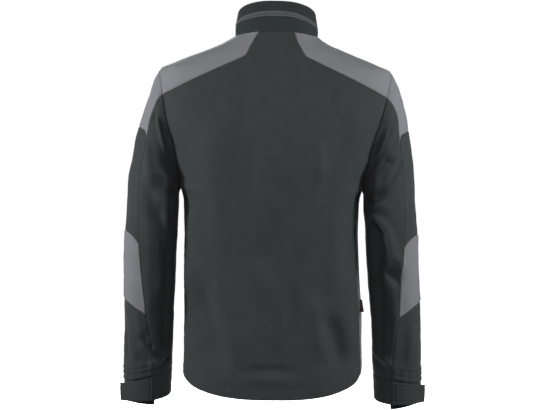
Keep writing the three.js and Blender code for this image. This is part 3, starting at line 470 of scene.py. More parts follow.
def armhole_place(side, degrees):
    """Angle and height on the body of a point of the armhole, which runs from its top towards the back."""
    turn = np.radians(degrees)
    middle = (SHOULDER_HEIGHT + UNDERARM_HEIGHT) / 2
    z = middle + (SHOULDER_HEIGHT - middle) * np.cos(turn)
    y = ARMHOLE_MIDDLE_Y + ARMHOLE_DEPTH[side] * np.sin(turn)
    share = np.abs(y) / body_depth(y > 0, z)
    return side * np.arctan2(body.half(z) * (1 - share ** body.square(z)) ** (1 / body.square(z)), y), z


def sleeve_surface(side, degrees, outer_z):
    """Degrees go round from the outer line towards the back; outer_z is the ring's height at that line."""
    turn = np.radians(degrees)
    outer_x, inner_x, inner_z = ring.outer_x(outer_z), ring.inner_x(outer_z), ring.inner_z(outer_z)
    reach, depth = np.hypot(outer_x - inner_x, outer_z - inner_z) / 2, ring.depth(outer_z)
    across, along = np.cos(turn) * reach, np.sin(turn) * depth
    length = np.hypot(across, along)
    folds = [fold for fold in SLEEVE_FOLDS if fold["side"] == side]
    radius = radius_of(across / length, along / length, reach, depth, ring.square(outer_z))
    radius = radius + fold_height(folds, np.mod(degrees, 360), outer_z, depth)
    outwards = radius * across / length / (2 * reach)
    inwards = (1 - np.cos(turn)) / 2
    lower = ring.tilt(outer_z) * np.sin(turn)
    lower = lower + SLEEVE_END_DROP[side] * inwards * smoothstep(-outer_z, -SLEEVE_END_FROM, -SLEEVE_END_FULL)
    point = posed(
        side * ((outer_x + inner_x) / 2 + (outer_x - inner_x) * outwards),
        ring.middle_y(outer_z) + radius * along / length,
        (outer_z + inner_z) / 2 + (outer_z - inner_z) * outwards - lower,
    )
    # The first rings bend over to the armhole, which isn't flat
    joined = 1 - smoothstep(SHOULDER_HEIGHT - outer_z, 0, 60)
    angle, z = armhole_place(side, degrees)
    first = SLEEVE_RINGS[0]
    flat_x = side * mix(first["inner_x"], first["outer_x"], (1 + np.cos(turn)) / 2)
    flat = posed(flat_x, ARMHOLE_MIDDLE_Y + first["depth"] * np.sin(turn), z)
    return point + (body_surface(angle, z) - flat) * np.asarray(joined)[..., None]


def collar_surface(angle, share):
    base = body_surface(angle, neck_height(angle))
    depth = np.where(np.cos(angle) > 0, COLLAR_TOP.back, COLLAR_TOP.front)
    radius = radius_of(np.sin(angle), np.cos(angle), COLLAR_TOP.half, depth, COLLAR_TOP.square)
    height = COLLAR_TOP.side_height + COLLAR_TOP.tilt * radius * np.cos(angle) / depth
    top = posed(radius * np.sin(angle), radius * np.cos(angle), height)
    bulge = COLLAR_BULGE * np.sin(math.pi * np.clip(share, 0, 1))
    outwards = np.stack([np.sin(angle) * bulge, np.cos(angle) * bulge, 0 * bulge], axis=-1)
    return mix(base, top, np.asarray(share)[..., None]) + outwards


def normal_of(surface, round_, up, step_round, step_up):
    """The outward direction of a surface, square to its lines of both coordinates."""
    rising = surface(round_, up + step_up) - surface(round_, up - step_up)
    turning = surface(round_ + step_round, up) - surface(round_ - step_round, up)
    return unit(np.cross(rising, turning))


def body_normal(angle, z):
    return normal_of(body_surface, angle, z, 0.01, 0.5)


def sleeve_normal(side, degrees, outer_z):
    return -side * normal_of(lambda d, z: sleeve_surface(side, d, z), degrees, outer_z, 0.5, 0.5)


def collar_normal(angle, share):
    return normal_of(collar_surface, angle, share, 0.01, 0.02)


def armhole_slant(side, degrees):
    """The direction in which two panels' edges stand at the armhole seam."""
    turn = np.radians(degrees)
    round_underarm = 0.4 * np.stack([0 * turn, np.sin(turn), np.cos(turn)], axis=-1)
    at_armhole = np.full(np.shape(degrees), SHOULDER_HEIGHT - 1.0)
    on_body = body_normal(*armhole_place(side, degrees))
    return unit(on_body + sleeve_normal(side, degrees, at_armhole) + round_underarm)


def neck_slant(angle):
    low = np.full(np.shape(angle), 0.05)
    return unit(body_normal(angle, neck_height(angle) - 1) + collar_normal(angle, low))


def crease_height(creases, angle, z, mm_per_degree):
    total = np.zeros(np.broadcast(angle, z).shape)
    for crease in creases:
        scale = mm_per_degree(crease)
        along_a = (crease["to_angle"] - crease["angle"]) * scale
        along_z = crease["to_z"] - crease["z"]
        length = math.hypot(along_a, along_z)
        a = (np.mod(angle - crease["angle"] + 180, 360) - 180) * scale
        share = (a * along_a + (z - crease["z"]) * along_z) / length**2
        inside = np.clip(share, 0, 1)
        bow = crease["bow"] * 4 * inside * (1 - inside)
        aside = (a * along_z - (z - crease["z"]) * along_a) / length - bow
        width = crease["width"] * np.where(aside > 0, 1 + crease["skew"], 1 - crease["skew"])
        ends = smoothstep(share, -0.1, 0.3) * (1 - smoothstep(share, 0.7, 1.1))
        total = total + crease["height"] * hump(aside, width) * ends
    return total


def ripple(points, seed, size, height):
    """Slight unevenness of the cloth, as a sum of a few waves in different directions."""
    random = np.random.default_rng(seed)
    total = 0
    for _ in range(9):
        direction = unit(random.normal(size=3))
        length = size * random.uniform(0.6, 1.7)
        total = total + np.sin(points @ direction * (2 * math.pi / length) + random.uniform(0, 6.28))
    return total * height / 3


def puckered(along, distance, seed, height=0.25):
    """Small puckers beside a stitched seam, uneven along it."""
    random = np.random.default_rng(seed)
    waves = sum(np.sin(along / random.uniform(2.2, 4.5) + random.uniform(0, 6.28)) for _ in range(4))
    return height * waves / 2 * hump(distance, 9)


# Grids

EDGE_STEPS = np.array([0, 0.35, 0.9, 1.8, 3.0, 4.6, 6.6])


def spaced(length, step, breaks=()):
    """Shares along a length, close together at both ends and through every break."""
    near = EDGE_STEPS / length
    marks = sorted({*[b for b in breaks if near[-1] < b < 1 - near[-1]], near[-1], 1 - near[-1]})
    middle = []
    for low, high in zip(marks, marks[1:]):
        count = max(1, round((high - low) * length / step))
        middle += list(np.linspace(low, high, count + 1)[:-1])
    return np.array([*near[:-1], *middle, *(1 - near[::-1])])


# Lines on the body: each gives angles and heights for shares of its length.

def straight(start, end):
    return lambda t: (mix(start[0], end[0], t), mix(start[1], end[1], t))


def straight_seen(side, start, end, on_back):
    """A line that looks straight from behind or from the front."""

    def seen_x(place):
        angle, z = place
        depth = body_depth(on_back, z)
        radius = radius_of(math.sin(angle), math.cos(angle), body.half(z), depth, body.square(z))
        return abs(radius * math.sin(angle))

    def line(t):
        z = mix(start[1], end[1], t)
        return side * body_angle(mix(seen_x(start), seen_x(end), t), z, on_back), z

    return line


def armhole_arc(side, start, end):
    return lambda t: armhole_place(side, mix(start, end, t))


def neck_arc(side, start, end):
    def line(t):
        angle = side * np.radians(mix(start, end, t))
        return angle, neck_height(angle)

    return line


def backwards(line):
    return lambda t: line(1 - t)


def chain(*parts):
    """One edge from several lines, each with its length."""
    ends = np.concatenate([[0], np.cumsum([length for length, _ in parts])])
    ends = ends / ends[-1]

    def edge(t):
        angle, z = np.zeros_like(t), np.zeros_like(t)
        for low, high, (_, line) in zip(ends, ends[1:], parts):
            inside = (t >= low - 1e-9) & (t <= high + 1e-9)
            angle[inside], z[inside] = line(np.clip((t[inside] - low) / (high - low), 0, 1))
        return angle, z

    edge.breaks = ends[1:-1]
    return edge


def seams_of(side):
    """The seams of one side of the body, each with its length, from its lower or outer end."""

    def at_armhole(degrees):
        return [float(v) for v in armhole_place(side, degrees)]

    def at_height(degrees, height):
        return [side * math.radians(degrees), float(height(math.radians(degrees)))]

    def zip_edge(t):
        z = mix(float(hem_height(math.pi)), -NECK_FRONT_DROP, t)
        return side * (math.pi - ZIP_GAP / body.front(z)), z

    notch = [side * float(body_angle(YOKE_NOTCH.x, YOKE_NOTCH.z, True)), YOKE_NOTCH.z]
    neck_front = at_height(NECK_YOKE_FRONT, neck_height)
    lines = dict(
        side_seam=straight(at_height(SIDE_SEAM_ANGLE, hem_height), at_armhole(ARMHOLE_SIDE_SEAM)),
        front_seam=straight(at_height(FRONT_SEAM_ANGLE, hem_height), at_armhole(ARMHOLE_FRONT_SEAM)),
        armhole_back=armhole_arc(side, ARMHOLE_SIDE_SEAM, ARMHOLE_YOKE),
        armhole_low=armhole_arc(side, ARMHOLE_SIDE_SEAM, ARMHOLE_FRONT_SEAM),
        armhole_front=armhole_arc(side, ARMHOLE_FRONT_SEAM, 360 - ARMHOLE_YOKE),
        armhole_top=armhole_arc(side, ARMHOLE_YOKE, -ARMHOLE_YOKE),
        yoke_back=straight_seen(side, at_armhole(ARMHOLE_YOKE), notch, True),
        yoke_front=straight_seen(side, at_armhole(360 - ARMHOLE_YOKE), neck_front, False),
        notch=straight(notch, at_height(NECK_YOKE_BACK, neck_height)),
        neck_back=neck_arc(side, NECK_YOKE_BACK, 0),
        neck_side=neck_arc(side, NECK_YOKE_BACK, NECK_YOKE_FRONT),
        neck_front=neck_arc(side, NECK_YOKE_FRONT, math.degrees(NECK_EDGE)),
        zip_edge=zip_edge,
    )
    shares = np.linspace(0, 1, 80)
    return {name: (run_along(body_surface(*line(shares)))[-1], line) for name, line in lines.items()}


def hem_under(top, from_angle, to_angle):
    """The hem below an upper edge: its angles are spread as that edge's are."""
    first, last = top(np.array([0.0]))[0][0], top(np.array([1.0]))[0][0]

    def line(t):
        angle = mix(from_angle, to_angle, (top(t)[0] - first) / (last - first))
        return angle, hem_height(angle)

    return line


def body_grid(bottom, top, left, right, size, step):
    """Angles and heights of a four-sided panel's points, filled in between its edges."""
    u = spaced(size[0], step, getattr(top, "breaks", ()))
    v = spaced(size[1], step, getattr(left, "breaks", ()))
    edges = ((bottom, u), (top, u), (left, v), (right, v))
    low, high, near, far = (np.stack(edge(t), axis=-1) for edge, t in edges)
    across, up = u[None, :, None], v[:, None, None]
    corners = mix(mix(low[0], low[-1], across), mix(high[0], high[-1], across), up)
    place = mix(low[None], high[None], up) + mix(near[:, None], far[:, None], across) - corners
    return place[..., 0], place[..., 1]


def nearest(points, targets, block=2048):
    """Distance from each point to the closest target, and which one that is."""
    flat = points.reshape(-1, 3)
    distance, index = np.empty(len(flat)), np.empty(len(flat), int)
    for start in range(0, len(flat), block):
        part = flat[start : start + block]
        squares = (part**2).sum(1)[:, None] - 2 * part @ targets.T + (targets**2).sum(1)[None]
        index[start : start + block] = squares.argmin(1)
        distance[start : start + block] = np.sqrt(np.maximum(squares.min(1), 0))
    return distance.reshape(points.shape[:-1]), index.reshape(points.shape[:-1])


# Meshes

def add_mesh(name, points, faces, material, uv=None):
    mesh = bpy.data.meshes.new(name)
    mesh.from_pydata((np.asarray(points) / 1000).tolist(), [], faces)
    mesh.polygons.foreach_set("use_smooth", np.full(len(mesh.polygons), uv is not None))
    if uv is not None:
        layer = mesh.uv_layers.new(name="cloth")
        index = np.empty(len(mesh.loops), int)
        mesh.loops.foreach_get("vertex_index", index)
        layer.data.foreach_set("uv", (uv[index] / 1000).ravel())
    mesh.materials.append(material)
    mesh.update()
    piece = bpy.data.objects.new(name, mesh)
    bpy.context.scene.collection.objects.link(piece)
    return piece


def cloth_uv(points):
    """Distances along the rows and columns of a grid, so that the weave keeps its scale."""
    across = run_along(points, 1)
    return np.stack([across - across[:, across.shape[1] // 2, None], run_along(points)], axis=-1)


def shell_faces(rows, cols, around):
    """Quads of a closed wall: an outer grid, an inner grid and the rims between them."""
    steps = cols if around else cols - 1
    depth = rows * cols
    j, i = np.meshgrid(np.arange(rows - 1), np.arange(steps), indexing="ij")
    a, b = j * cols + i, j * cols + (i + 1) % cols
    outer = np.stack([a, b, b + cols, a + cols], axis=-1).reshape(-1, 4)

    def rim(start, end):
        return np.stack([start, end, end + depth, start + depth], axis=-1)

    low = np.arange(steps)
    next_low, top = (low + 1) % cols, (rows - 1) * cols
    rims = [rim(next_low, low), rim(low + top, next_low + top)]
    if not around:
        left = np.arange(rows - 1) * cols
        right = left + cols - 1
        rims += [rim(left, left + cols), rim(right + cols, right)]
    return np.concatenate([outer, outer[:, ::-1] + depth, *rims])


def wall(name, material, points, out, lift, depth, around=False):
    """A closed wall, facing outwards, between the points moved out by lift and by depth."""
    outer, inner = (points + out * np.asarray(height)[..., None] for height in (lift, depth))
    faces = shell_faces(*points.shape[:2], around)
    vertices = np.concatenate([outer.reshape(-1, 3), inner.reshape(-1, 3)])
    a, b, c, d = vertices[faces].transpose(1, 0, 2)
    volume = np.einsum("ij,ij->", a, np.cross(b, c) + np.cross(c, d))
    if volume < 0:
        faces = faces[:, ::-1]
    uv = np.tile(cloth_uv(points).reshape(-1, 2), (2, 1))
    return add_mesh(name, vertices, faces.tolist(), material, uv), outer


# The outer grids of the cloth pieces, by node
panels = {}


def cloth_piece(node, cloth, points, out, lift, depth, around=False):
    slot, material = cloth
    piece, panels[node] = wall(node + "_cloth", material, points, out, lift, depth, around)
    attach(piece, "jacket")
    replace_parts(piece, node)


SEAM_SAMPLES = 361
SLANT_REACH = 9.0


def shared_seams():
    """Points of the armhole and neck seams, armholes first, and the slant of the walls at each."""
    degrees = np.linspace(0, 360, SEAM_SAMPLES)
    found = [(body_surface(*armhole_place(side, degrees)), armhole_slant(side, degrees)) for side in SIDES]
    angle = np.linspace(-NECK_EDGE, NECK_EDGE, SEAM_SAMPLES)
    found.append((body_surface(angle, neck_height(angle)), neck_slant(angle)))
    return [np.concatenate(rows) for rows in zip(*found)]


SHARED_POINTS, SHARED_SLANTS = shared_seams()
ARMHOLE_POINTS = SHARED_POINTS[: 2 * SEAM_SAMPLES]


def settled(points, out):
    """The walls' directions, turned to the shared slant near a shared seam, and how free the cloth is."""
    distance, index = nearest(points, SHARED_POINTS)
    from_armhole, _ = nearest(points, ARMHOLE_POINTS)
    turned = unit(mix(out, SHARED_SLANTS[index], hump(distance, SLANT_REACH)[..., None]))
    return turned, smoothstep(from_armhole, 1, 16)


def edge_distances(points):
    """Distance to the bottom, top, left and right edges, along the grid's own lines."""
    across, up = run_along(points, 1), run_along(points)
    return dict(bottom=up, top=up[-1] - up, left=across, right=across[:, -1:] - across)


def drawn_in(points, around=False):
    """A grid whose edges are moved in by half of the gap at a seam."""
    moved = points.copy()
    for edge, beside in ((0, 1), (-1, -2)):
        moved[edge] += SEAM_GAP / 2 * unit(points[beside] - points[edge])
        if not around:
            moved[:, edge] += SEAM_GAP / 2 * unit(points[:, beside] - points[:, edge])
    return moved


SEAM_DIP, SEAM_WIDTH = dict(sewn=1.0, faint=0.55), 1.6
ROUND_DIP, ROUND_WIDTH = 0.85, 0.7
HEM_STITCH = 17.0
HEM_GROOVE = SimpleNamespace(dip=0.9, width=1.5, swell=0.6, fade=4, pucker=0.4)


def seam_relief(points, finish, seed):
    """Outer and inner heights beside each edge: a sewn edge turns down, the others are rounded off."""
    lift, depth = np.zeros(points.shape[:2]), np.zeros(points.shape[:2])
    for edge, distance in edge_distances(points).items():
        kind = finish.get(edge, "sewn")
        run = run_along(points, 1 if edge in ("bottom", "top") else 0)
        if kind in SEAM_DIP:
            lift += 0.25 * hump(distance - 4, 2.5) - SEAM_DIP[kind] * hump(distance, SEAM_WIDTH)
            lift += puckered(run, distance, seed)
        else:
            lift -= ROUND_DIP * hump(distance, ROUND_WIDTH)
            depth += ROUND_DIP * hump(distance, ROUND_WIDTH)
        if kind == "hem":
            lift -= HEM_GROOVE.dip * hump(distance - HEM_STITCH, HEM_GROOVE.width)
            lift += HEM_GROOVE.swell * (1 - smoothstep(distance, HEM_STITCH, HEM_STITCH + HEM_GROOVE.fade))
            lift += puckered(run, np.abs(distance - HEM_STITCH) / 1.6, seed + 1, HEM_GROOVE.pucker)
        seed += 2
    return lift, depth


# Body

def body_panel(node, cloth, edges, size, finish, seed, step=3.6):
    angle, z = body_grid(*edges, size, step)
    out, free = settled(body_surface(angle, z), body_normal(angle, z))
    points = drawn_in(body_surface(angle, z))

    def scale(crease):
        return MM_PER_DEGREE.back if abs(crease["angle"]) < BACK_REACH else MM_PER_DEGREE.sides

    crease = crease_height(BODY_CREASES, np.degrees(angle), z, scale)
    coarse, fine = ripple(points, seed=3, size=70, height=0.6), ripple(points, seed=4, size=26, height=0.14)
    crease = (crease + coarse + fine) * free
    lift, depth = seam_relief(points, finish, seed)
    cloth_piece(node, cloth, points, out, crease + lift, crease - CLOTH + depth)


def body_panels():
    seams = {side: seams_of(side) for side in SIDES}
    side_angle, front_angle = math.radians(SIDE_SEAM_ANGLE), math.radians(FRONT_SEAM_ANGLE)
    hem = dict(bottom="hem")
    half_top = ("yoke_back", "notch", "neck_back")
    turned = [(length, backwards(line)) for length, line in (seams[1][name] for name in reversed(half_top))]
    top = chain(*[seams[-1][name] for name in half_top], *turned)
    sides = [chain(seams[side]["side_seam"], seams[side]["armhole_back"]) for side in (-1, 1)]
    body_panel("back", charcoal, (hem_under(top, -side_angle, side_angle), top, *sides), (520, 700), hem, 11)
    for side, own in seams.items():
        label = SIDES[side]
        line = {name: found for name, (_, found) in own.items()}
        top = chain(own["yoke_front"], own["neck_front"])
        edge_angle = float(line["zip_edge"](np.array([0.0]))[0][0])
        front_hem = hem_under(top, side * front_angle, edge_angle)
        edges = (front_hem, top, chain(own["front_seam"], own["armhole_front"]), line["zip_edge"])
        body_panel(f"front_{label}", charcoal, edges, (180, 600), dict(bottom="hem", right="free"), 31 + side)
        side_hem = hem_under(line["armhole_low"], side * side_angle, side * front_angle)
        edges = (side_hem, line["armhole_low"], line["side_seam"], line["front_seam"])
        body_panel(f"side_panel_{label}", grey, edges, (110, 350), hem, 41 + side)
        inner = chain(own["notch"], own["neck_side"])
        edges = (backwards(line["yoke_back"]), backwards(line["yoke_front"]), inner, line["armhole_top"])
        body_panel(f"yoke_{label}", grey, edges, (190, 260), {}, 51 + side)


# Sleeves

# Distances from the cuff's seam of the two rows of stitches round the sleeve and of the puffs beside them
CUFF_STITCHES = (12, 22)
CUFF_PUFFS = (6, 17, 27)
PUFF, GROOVE = SimpleNamespace(height=1.4, width=3.2), SimpleNamespace(height=1.0, width=1.5)
PATCH = SimpleNamespace(
    thickness=1.3, from_share=0.2, stitch=2.4, dip=0.8, swell=0.25, relief=0.3, under=0.15
)
# How much higher the sleeve head's lower edge runs beside its corners
HEAD_RISE = 30


def sleeve_grid(rows, columns, part):
    """Degrees and levels of a sleeve panel. Rows are heights at the outer line, columns shares of the way."""
    outer_z, t = rows[:, None], columns[None, :]
    back, front = seam.back(outer_z), seam.front(outer_z)
    if part == "under":
        degrees = mix(back, 360 - front, t)
        return degrees, outer_z - row_of.drop(outer_z) + 0 * degrees
    degrees = mix(-front, back, t)
    limit = np.where(degrees < 0, front, back)
    away = np.minimum(np.abs(degrees), limit)
    share = (1 - np.cos(np.radians(away))) / (1 - np.cos(np.radians(limit)))
    fade = 1 - smoothstep(HEAD_EDGE - outer_z, 0, 110)
    if part == "head":
        fade = np.clip((SHOULDER_HEIGHT - outer_z) / (SHOULDER_HEIGHT - HEAD_EDGE), 0, 1) ** 3
    head_edge = HEAD_RISE * (away / limit) ** 3 * (1 - (away / limit) ** 8)
    return degrees, outer_z - row_of.drop(outer_z) * share ** row_of.bend(outer_z) + head_edge * fade


def sleeve_shape(side, degrees, level):
    """Points of a sleeve, their directions and the height of its creases there."""
    points = sleeve_surface(side, degrees, level)
    out, free = settled(points, sleeve_normal(side, degrees, np.minimum(level, SHOULDER_HEIGHT - 1)))
    crease = crease_height(SLEEVE_CREASES[side], np.mod(degrees, 360), level, lambda c: MM_PER_DEGREE.sleeve)
    coarse = ripple(points, seed=5 + side, size=60, height=0.5)
    fine = ripple(points, seed=8, size=24, height=0.18)
    return points, out, (crease + coarse + fine) * free * smoothstep(CUFF_SEAM - level, -2, -26)


def sleeve_panel(part, cloth, side, top, bottom, step, columns, seed):
    degrees, level = sleeve_grid(level_rows(top, bottom, step), columns, part)
    points, out, crease = sleeve_shape(side, degrees, level)
    points = drawn_in(points)
    lift, depth = seam_relief(points, dict(left="faint", right="faint"), seed + side)
    if part == "outer":
        up = edge_distances(points)["top"]
        lift += PUFF.height * sum(hump(up - at, PUFF.width) for at in CUFF_PUFFS)
        lift -= GROOVE.height * sum(hump(up - at, GROOVE.width) for at in CUFF_STITCHES)
        lift += puckered(degrees * 1.1, np.abs(up - CUFF_PUFFS[1]) / 2, seed + side + 5, 0.5)
    cloth_piece(f"sleeve_{part}_{SIDES[side]}", cloth, points, out, crease + lift, crease - CLOTH + depth)


def level_rows(top, bottom, step):
    return top + (bottom - top) * spaced(abs(top - bottom), step)


def elbow_patch(side):
    columns = mix(PATCH.from_share, 1, spaced(110, 3.2))
    rows = level_rows(ELBOW_TOP, ELBOW_BOTTOM, 3.2)
    points, out, crease = sleeve_shape(side, *sleeve_grid(rows, columns, "outer"))
    relief, _ = seam_relief(points, {}, 71 + side)
    distances = edge_distances(points).values()
    turned = np.clip(sum(hump(distance, 1.1) for distance in distances), 0, 1)
    raised = sum(hump(distance - 2.6, 1.6) for distance in distances)
    lift = SEAM_GAP + PATCH.thickness - PATCH.dip * turned + PATCH.swell * raised + PATCH.relief * relief
    label, depth = SIDES[side], crease + PATCH.under
    cloth_piece(f"elbow_patch_{label}", grey, points, out, crease + lift, depth)


def sleeves():
    round_outer, round_under = spaced(150, 3.2), spaced(170, 3.6)
    for side in SIDES:
        sleeve_panel("head", grey, side, SHOULDER_HEIGHT, HEAD_EDGE, 3.4, round_outer, 61)
        sleeve_panel("outer", charcoal, side, HEAD_EDGE, CUFF_SEAM, 3.4, round_outer, 63)
        sleeve_panel("under", charcoal, side, SHOULDER_HEIGHT, CUFF_SEAM, 3.6, round_under, 67)
        elbow_patch(side)


# Cuffs, wrist tabs and the knitted cuffs inside them

CUFF = SimpleNamespace(thickness=2.6, height=39, points=144, seam_dip=1.5, seam_width=1.9)
TAB = SimpleNamespace(
    thickness=2.2, reach=27, low=0.04, high=0.96, dip=1.2, rounding=1.3, stitch=5.5, stitch_width=1.3,
    groove=1.3,
)
STORM = SimpleNamespace(
    thickness=1.6, half=27, depth=25, shift=13.8, top=-6, bottom=19, drop_share=0.7, slant={1: 8, -1: 13},
    from_share=0.55, rib=0.6, ribs=34, row=0.18,
)


def cuff_ring(side, degrees, share):
    level = mix(CUFF_SEAM, CUFF_EDGE, share)
    out = sleeve_normal(side, degrees, np.maximum(level, CUFF_EDGE + 1))
    return sleeve_surface(side, degrees, level), out


def cuff(side):
    label = SIDES[side]
    degrees = np.linspace(0, 360, CUFF.points, endpoint=False)
    d, s = np.meshgrid(degrees, spaced(CUFF.height, 1.6))
    points, out = cuff_ring(side, d, s)
    points = drawn_in(points, True)
    up = s * CUFF.height
    rounding = ROUND_DIP * hump(CUFF.height - up, 0.8)
    crease = ripple(points, seed=12, size=24, height=0.25)
    lift = crease - CUFF.seam_dip * hump(up, CUFF.seam_width) - rounding
    depth = crease - CUFF.thickness + rounding
    cloth_piece(f"cuff_{label}", charcoal, points, out, lift, depth, around=True)


def wrist_tab(side):
    """A tab that lies round the cuff from the back seam, and whose end stands off straight."""
    label = SIDES[side]
    seam_at = float(seam.back(CUFF_SEAM))
    width = (seam_at + float(seam.front(CUFF_SEAM))) / 10
    lying = seam_at - width * np.linspace(0, 3, 46)
    share = mix(TAB.low, TAB.high, spaced(36, 1.0))
    points, out = cuff_ring(side, *np.meshgrid(lying, share))
    end, end_out = points[:, -1:], out[:, -1:]
    before, _ = cuff_ring(side, np.full_like(share, lying[-1] + width)[:, None], share[:, None])
    direction = end - before
    direction = unit(direction - end_out * (direction * end_out).sum(-1, keepdims=True))
    reach = np.concatenate([np.linspace(0, TAB.reach - 3, 13)[1:], TAB.reach - np.array([1.8, 0.9, 0.35, 0])])
    points = np.concatenate([points, end + direction * reach[None, :, None]], axis=1)
    out = np.concatenate([out, np.repeat(end_out, len(reach), axis=1)], axis=1)
    distances = edge_distances(points).values()
    rounding = np.clip(sum(hump(distance, TAB.rounding) for distance in distances), 0, 1)
    groove = np.clip(sum(hump(distance - TAB.stitch, TAB.stitch_width) for distance in distances), 0, 1)
    lift = SEAM_GAP + TAB.thickness - TAB.dip * rounding - TAB.groove * groove
    depth = SEAM_GAP + 0.2 * rounding
    cloth_piece(f"wrist_tab_{label}", charcoal, points, out, lift, depth)


def storm_cuff(side):
    """A funnel from the cuff's inside to the wrist, then a ribbed band that hangs out."""
    label = SIDES[side]
    degrees = np.linspace(0, 360, STORM.ribs * 8, endpoint=False)
    start, out = cuff_ring(side, degrees, np.full(len(degrees), STORM.from_share))
    top = start - out * (CUFF.thickness + SEAM_GAP)
    centre = posed(
        np.array(side * ((ring.outer_x(CUFF_EDGE) + ring.inner_x(CUFF_EDGE)) / 2 + STORM.shift)),
        np.array(ring.middle_y(CUFF_EDGE)),
        np.array((CUFF_EDGE + ring.inner_z(CUFF_EDGE)) / 2 - STORM.drop_share * SLEEVE_END_DROP[side]),
    )
    turn = np.arctan2(top[:, 1] - centre[1], top[:, 0] - centre[0])
    around = np.stack([np.cos(turn), np.sin(turn), 0 * turn], axis=-1)

    def band(drop):
        outwards = (1 + side * np.cos(turn)) / 2
        rise = STORM.slant[side] * outwards * (drop - STORM.top) / (STORM.bottom - STORM.top)
        x, y = STORM.half * around[:, 0], STORM.depth * around[:, 1]
        return centre + np.stack([x, y, rise - drop], axis=-1)

    funnel = [mix(top, band(STORM.top), t) for t in np.linspace(0, 1, 10)[:-1]]
    ribbed = [band(drop) for drop in np.linspace(STORM.top, STORM.bottom, 24)]
    points = np.stack([*funnel, *ribbed])
    level = np.stack([*[out] * len(funnel), *[around] * len(ribbed)])
    rows = np.arange(len(points))[:, None]
    strength = mix(0.35, 1, smoothstep(rows, len(funnel) - 3, len(funnel) + 3))
    ribs = STORM.rib * (0.5 + 0.5 * np.cos(turn * STORM.ribs)) - STORM.rib
    rounding = ROUND_DIP * hump(len(points) - 1 - rows, 1.2)
    lift = ribs[None] * strength + STORM.row * np.sin(rows * 2.1) - 0.7 * rounding
    depth = 0.5 * rounding - STORM.thickness + 0 * lift
    cloth_piece(f"storm_cuff_{label}", knit, points, unit(level), lift, depth, around=True)


# Collar

COLLAR_BANDS = dict(collar_stand=(0, 0.48), collar_strip=(0.48, 0.66), collar_top=(0.66, 1.0))
COLLAR_HEIGHT = 62
STRIP = SimpleNamespace(relief=0.55, stand=0.35)
FACING = SimpleNamespace(low=0.1, high=1.015, short=0.5, thickness=1.4)


def collar_shape(angle, share):
    points = collar_surface(angle, share)
    out, _ = settled(points, collar_normal(angle, np.clip(share, 0.03, 0.98)))
    return points, out, ripple(points, seed=21, size=48, height=0.55) * smoothstep(share, 0, 0.25)


def collar():
    angle = -NECK_EDGE + 2 * NECK_EDGE * spaced(420, 2.6)
    for seed, (node, (low, high)) in enumerate(COLLAR_BANDS.items(), 81):
        a, s = np.meshgrid(angle, mix(low, high, spaced((high - low) * COLLAR_HEIGHT, 1.8)))
        s = s * (1 - strip_dip(np.degrees(a)) * np.minimum(1, (1 - s) / STRIP_ABOVE))
        points, out, crease = collar_shape(a, s)
        points = drawn_in(points)
        finish = dict(left="free", right="free", top="free" if node == "collar_top" else "sewn")
        lift, depth = seam_relief(points, finish, seed)
        cloth = collar_charcoal
        if node == "collar_strip":
            cloth, lift = trim, STRIP.relief * lift + STRIP.stand
        cloth_piece(node, cloth, points, out, crease + lift, crease - CLOTH + depth)
    inner = angle[np.abs(angle) < NECK_EDGE - FACING.short]
    a, s = np.meshgrid(inner, mix(FACING.low, FACING.high, spaced(57, 3)))
    points, out, crease = collar_shape(a, s)
    rounding = 0.5 * hump((FACING.high - s) * COLLAR_HEIGHT, 0.7)
    lift = crease - CLOTH - SEAM_GAP - rounding
    depth = lift - FACING.thickness + 2 * rounding
    cloth_piece("collar_facing", trim, points, out, lift, depth)


# A bare woven label, folded in half and sewn into the right side seam

LABEL = SimpleNamespace(top=-521, bottom=-546, root=0.5, top_reach=6, bottom_reach=9, thickness=0.9)


def side_label():
    angle = -math.radians(SIDE_SEAM_ANGLE)
    down = spaced(25, 0.8)
    z = mix(LABEL.top, LABEL.bottom, down)
    reach = mix(LABEL.top_reach, LABEL.bottom_reach, down)[:, None]
    away = body_normal(angle, z)
    share = np.sin(np.linspace(0, math.pi / 2, 15))
    from_seam = LABEL.root + (reach - LABEL.root) * share
    points = body_surface(angle, z)[:, None] + away[:, None] * from_seam[..., None]
    out = np.repeat(unit(np.cross([0, 0, 1], away))[:, None], len(share), axis=1)
    half = LABEL.thickness / 2 * (0.35 + 0.65 * (1 - hump((1 - share) * reach, 0.6)))
    curl = 0.5 * np.sin(2.2 * share) + 0.3 * down[:, None]
    cloth_piece("side_label", label_cloth, points, out, curl + half, curl - half)


# Zip

ZIP_TAPE = SimpleNamespace(beside=[0.4, 3, 7, 11, 15], lift=-2.6, thickness=0.8)
TOOTH = SimpleNamespace(pitch=2.6, half=1.7, thickness=2.1, height_share=0.21, shift=0.7)
SLIDER = SimpleNamespace(length=13, from_top=4)


def centre_front(share, beside):
    """A place beside the centre front line: share 0 is the hem, 1 the neck seam and 2 the collar's top."""
    share, beside = np.broadcast_arrays(np.asarray(share, float), np.asarray(beside, float))
    front = np.array(math.pi)
    level = mix(float(hem_height(front)), -NECK_FRONT_DROP, np.minimum(share, 1))
    angle = np.where(beside < 0, -1, 1) * (math.pi - np.abs(beside) / body.front(level))
    z = level + neck_height(angle) - float(neck_height(front))
    on_collar = (share > 1)[..., None]
    up = np.maximum(share - 1, 0)
    point = np.where(on_collar, collar_surface(angle, up), body_surface(angle, z))
    out = np.where(on_collar, collar_normal(angle, np.clip(up, 0.02, 0.98)), body_normal(angle, z))
    return point, out


def at_run(at, run, values):
    """The value at a distance along a line."""
    return np.array([np.interp(at, run, values[:, k]) for k in range(3)])


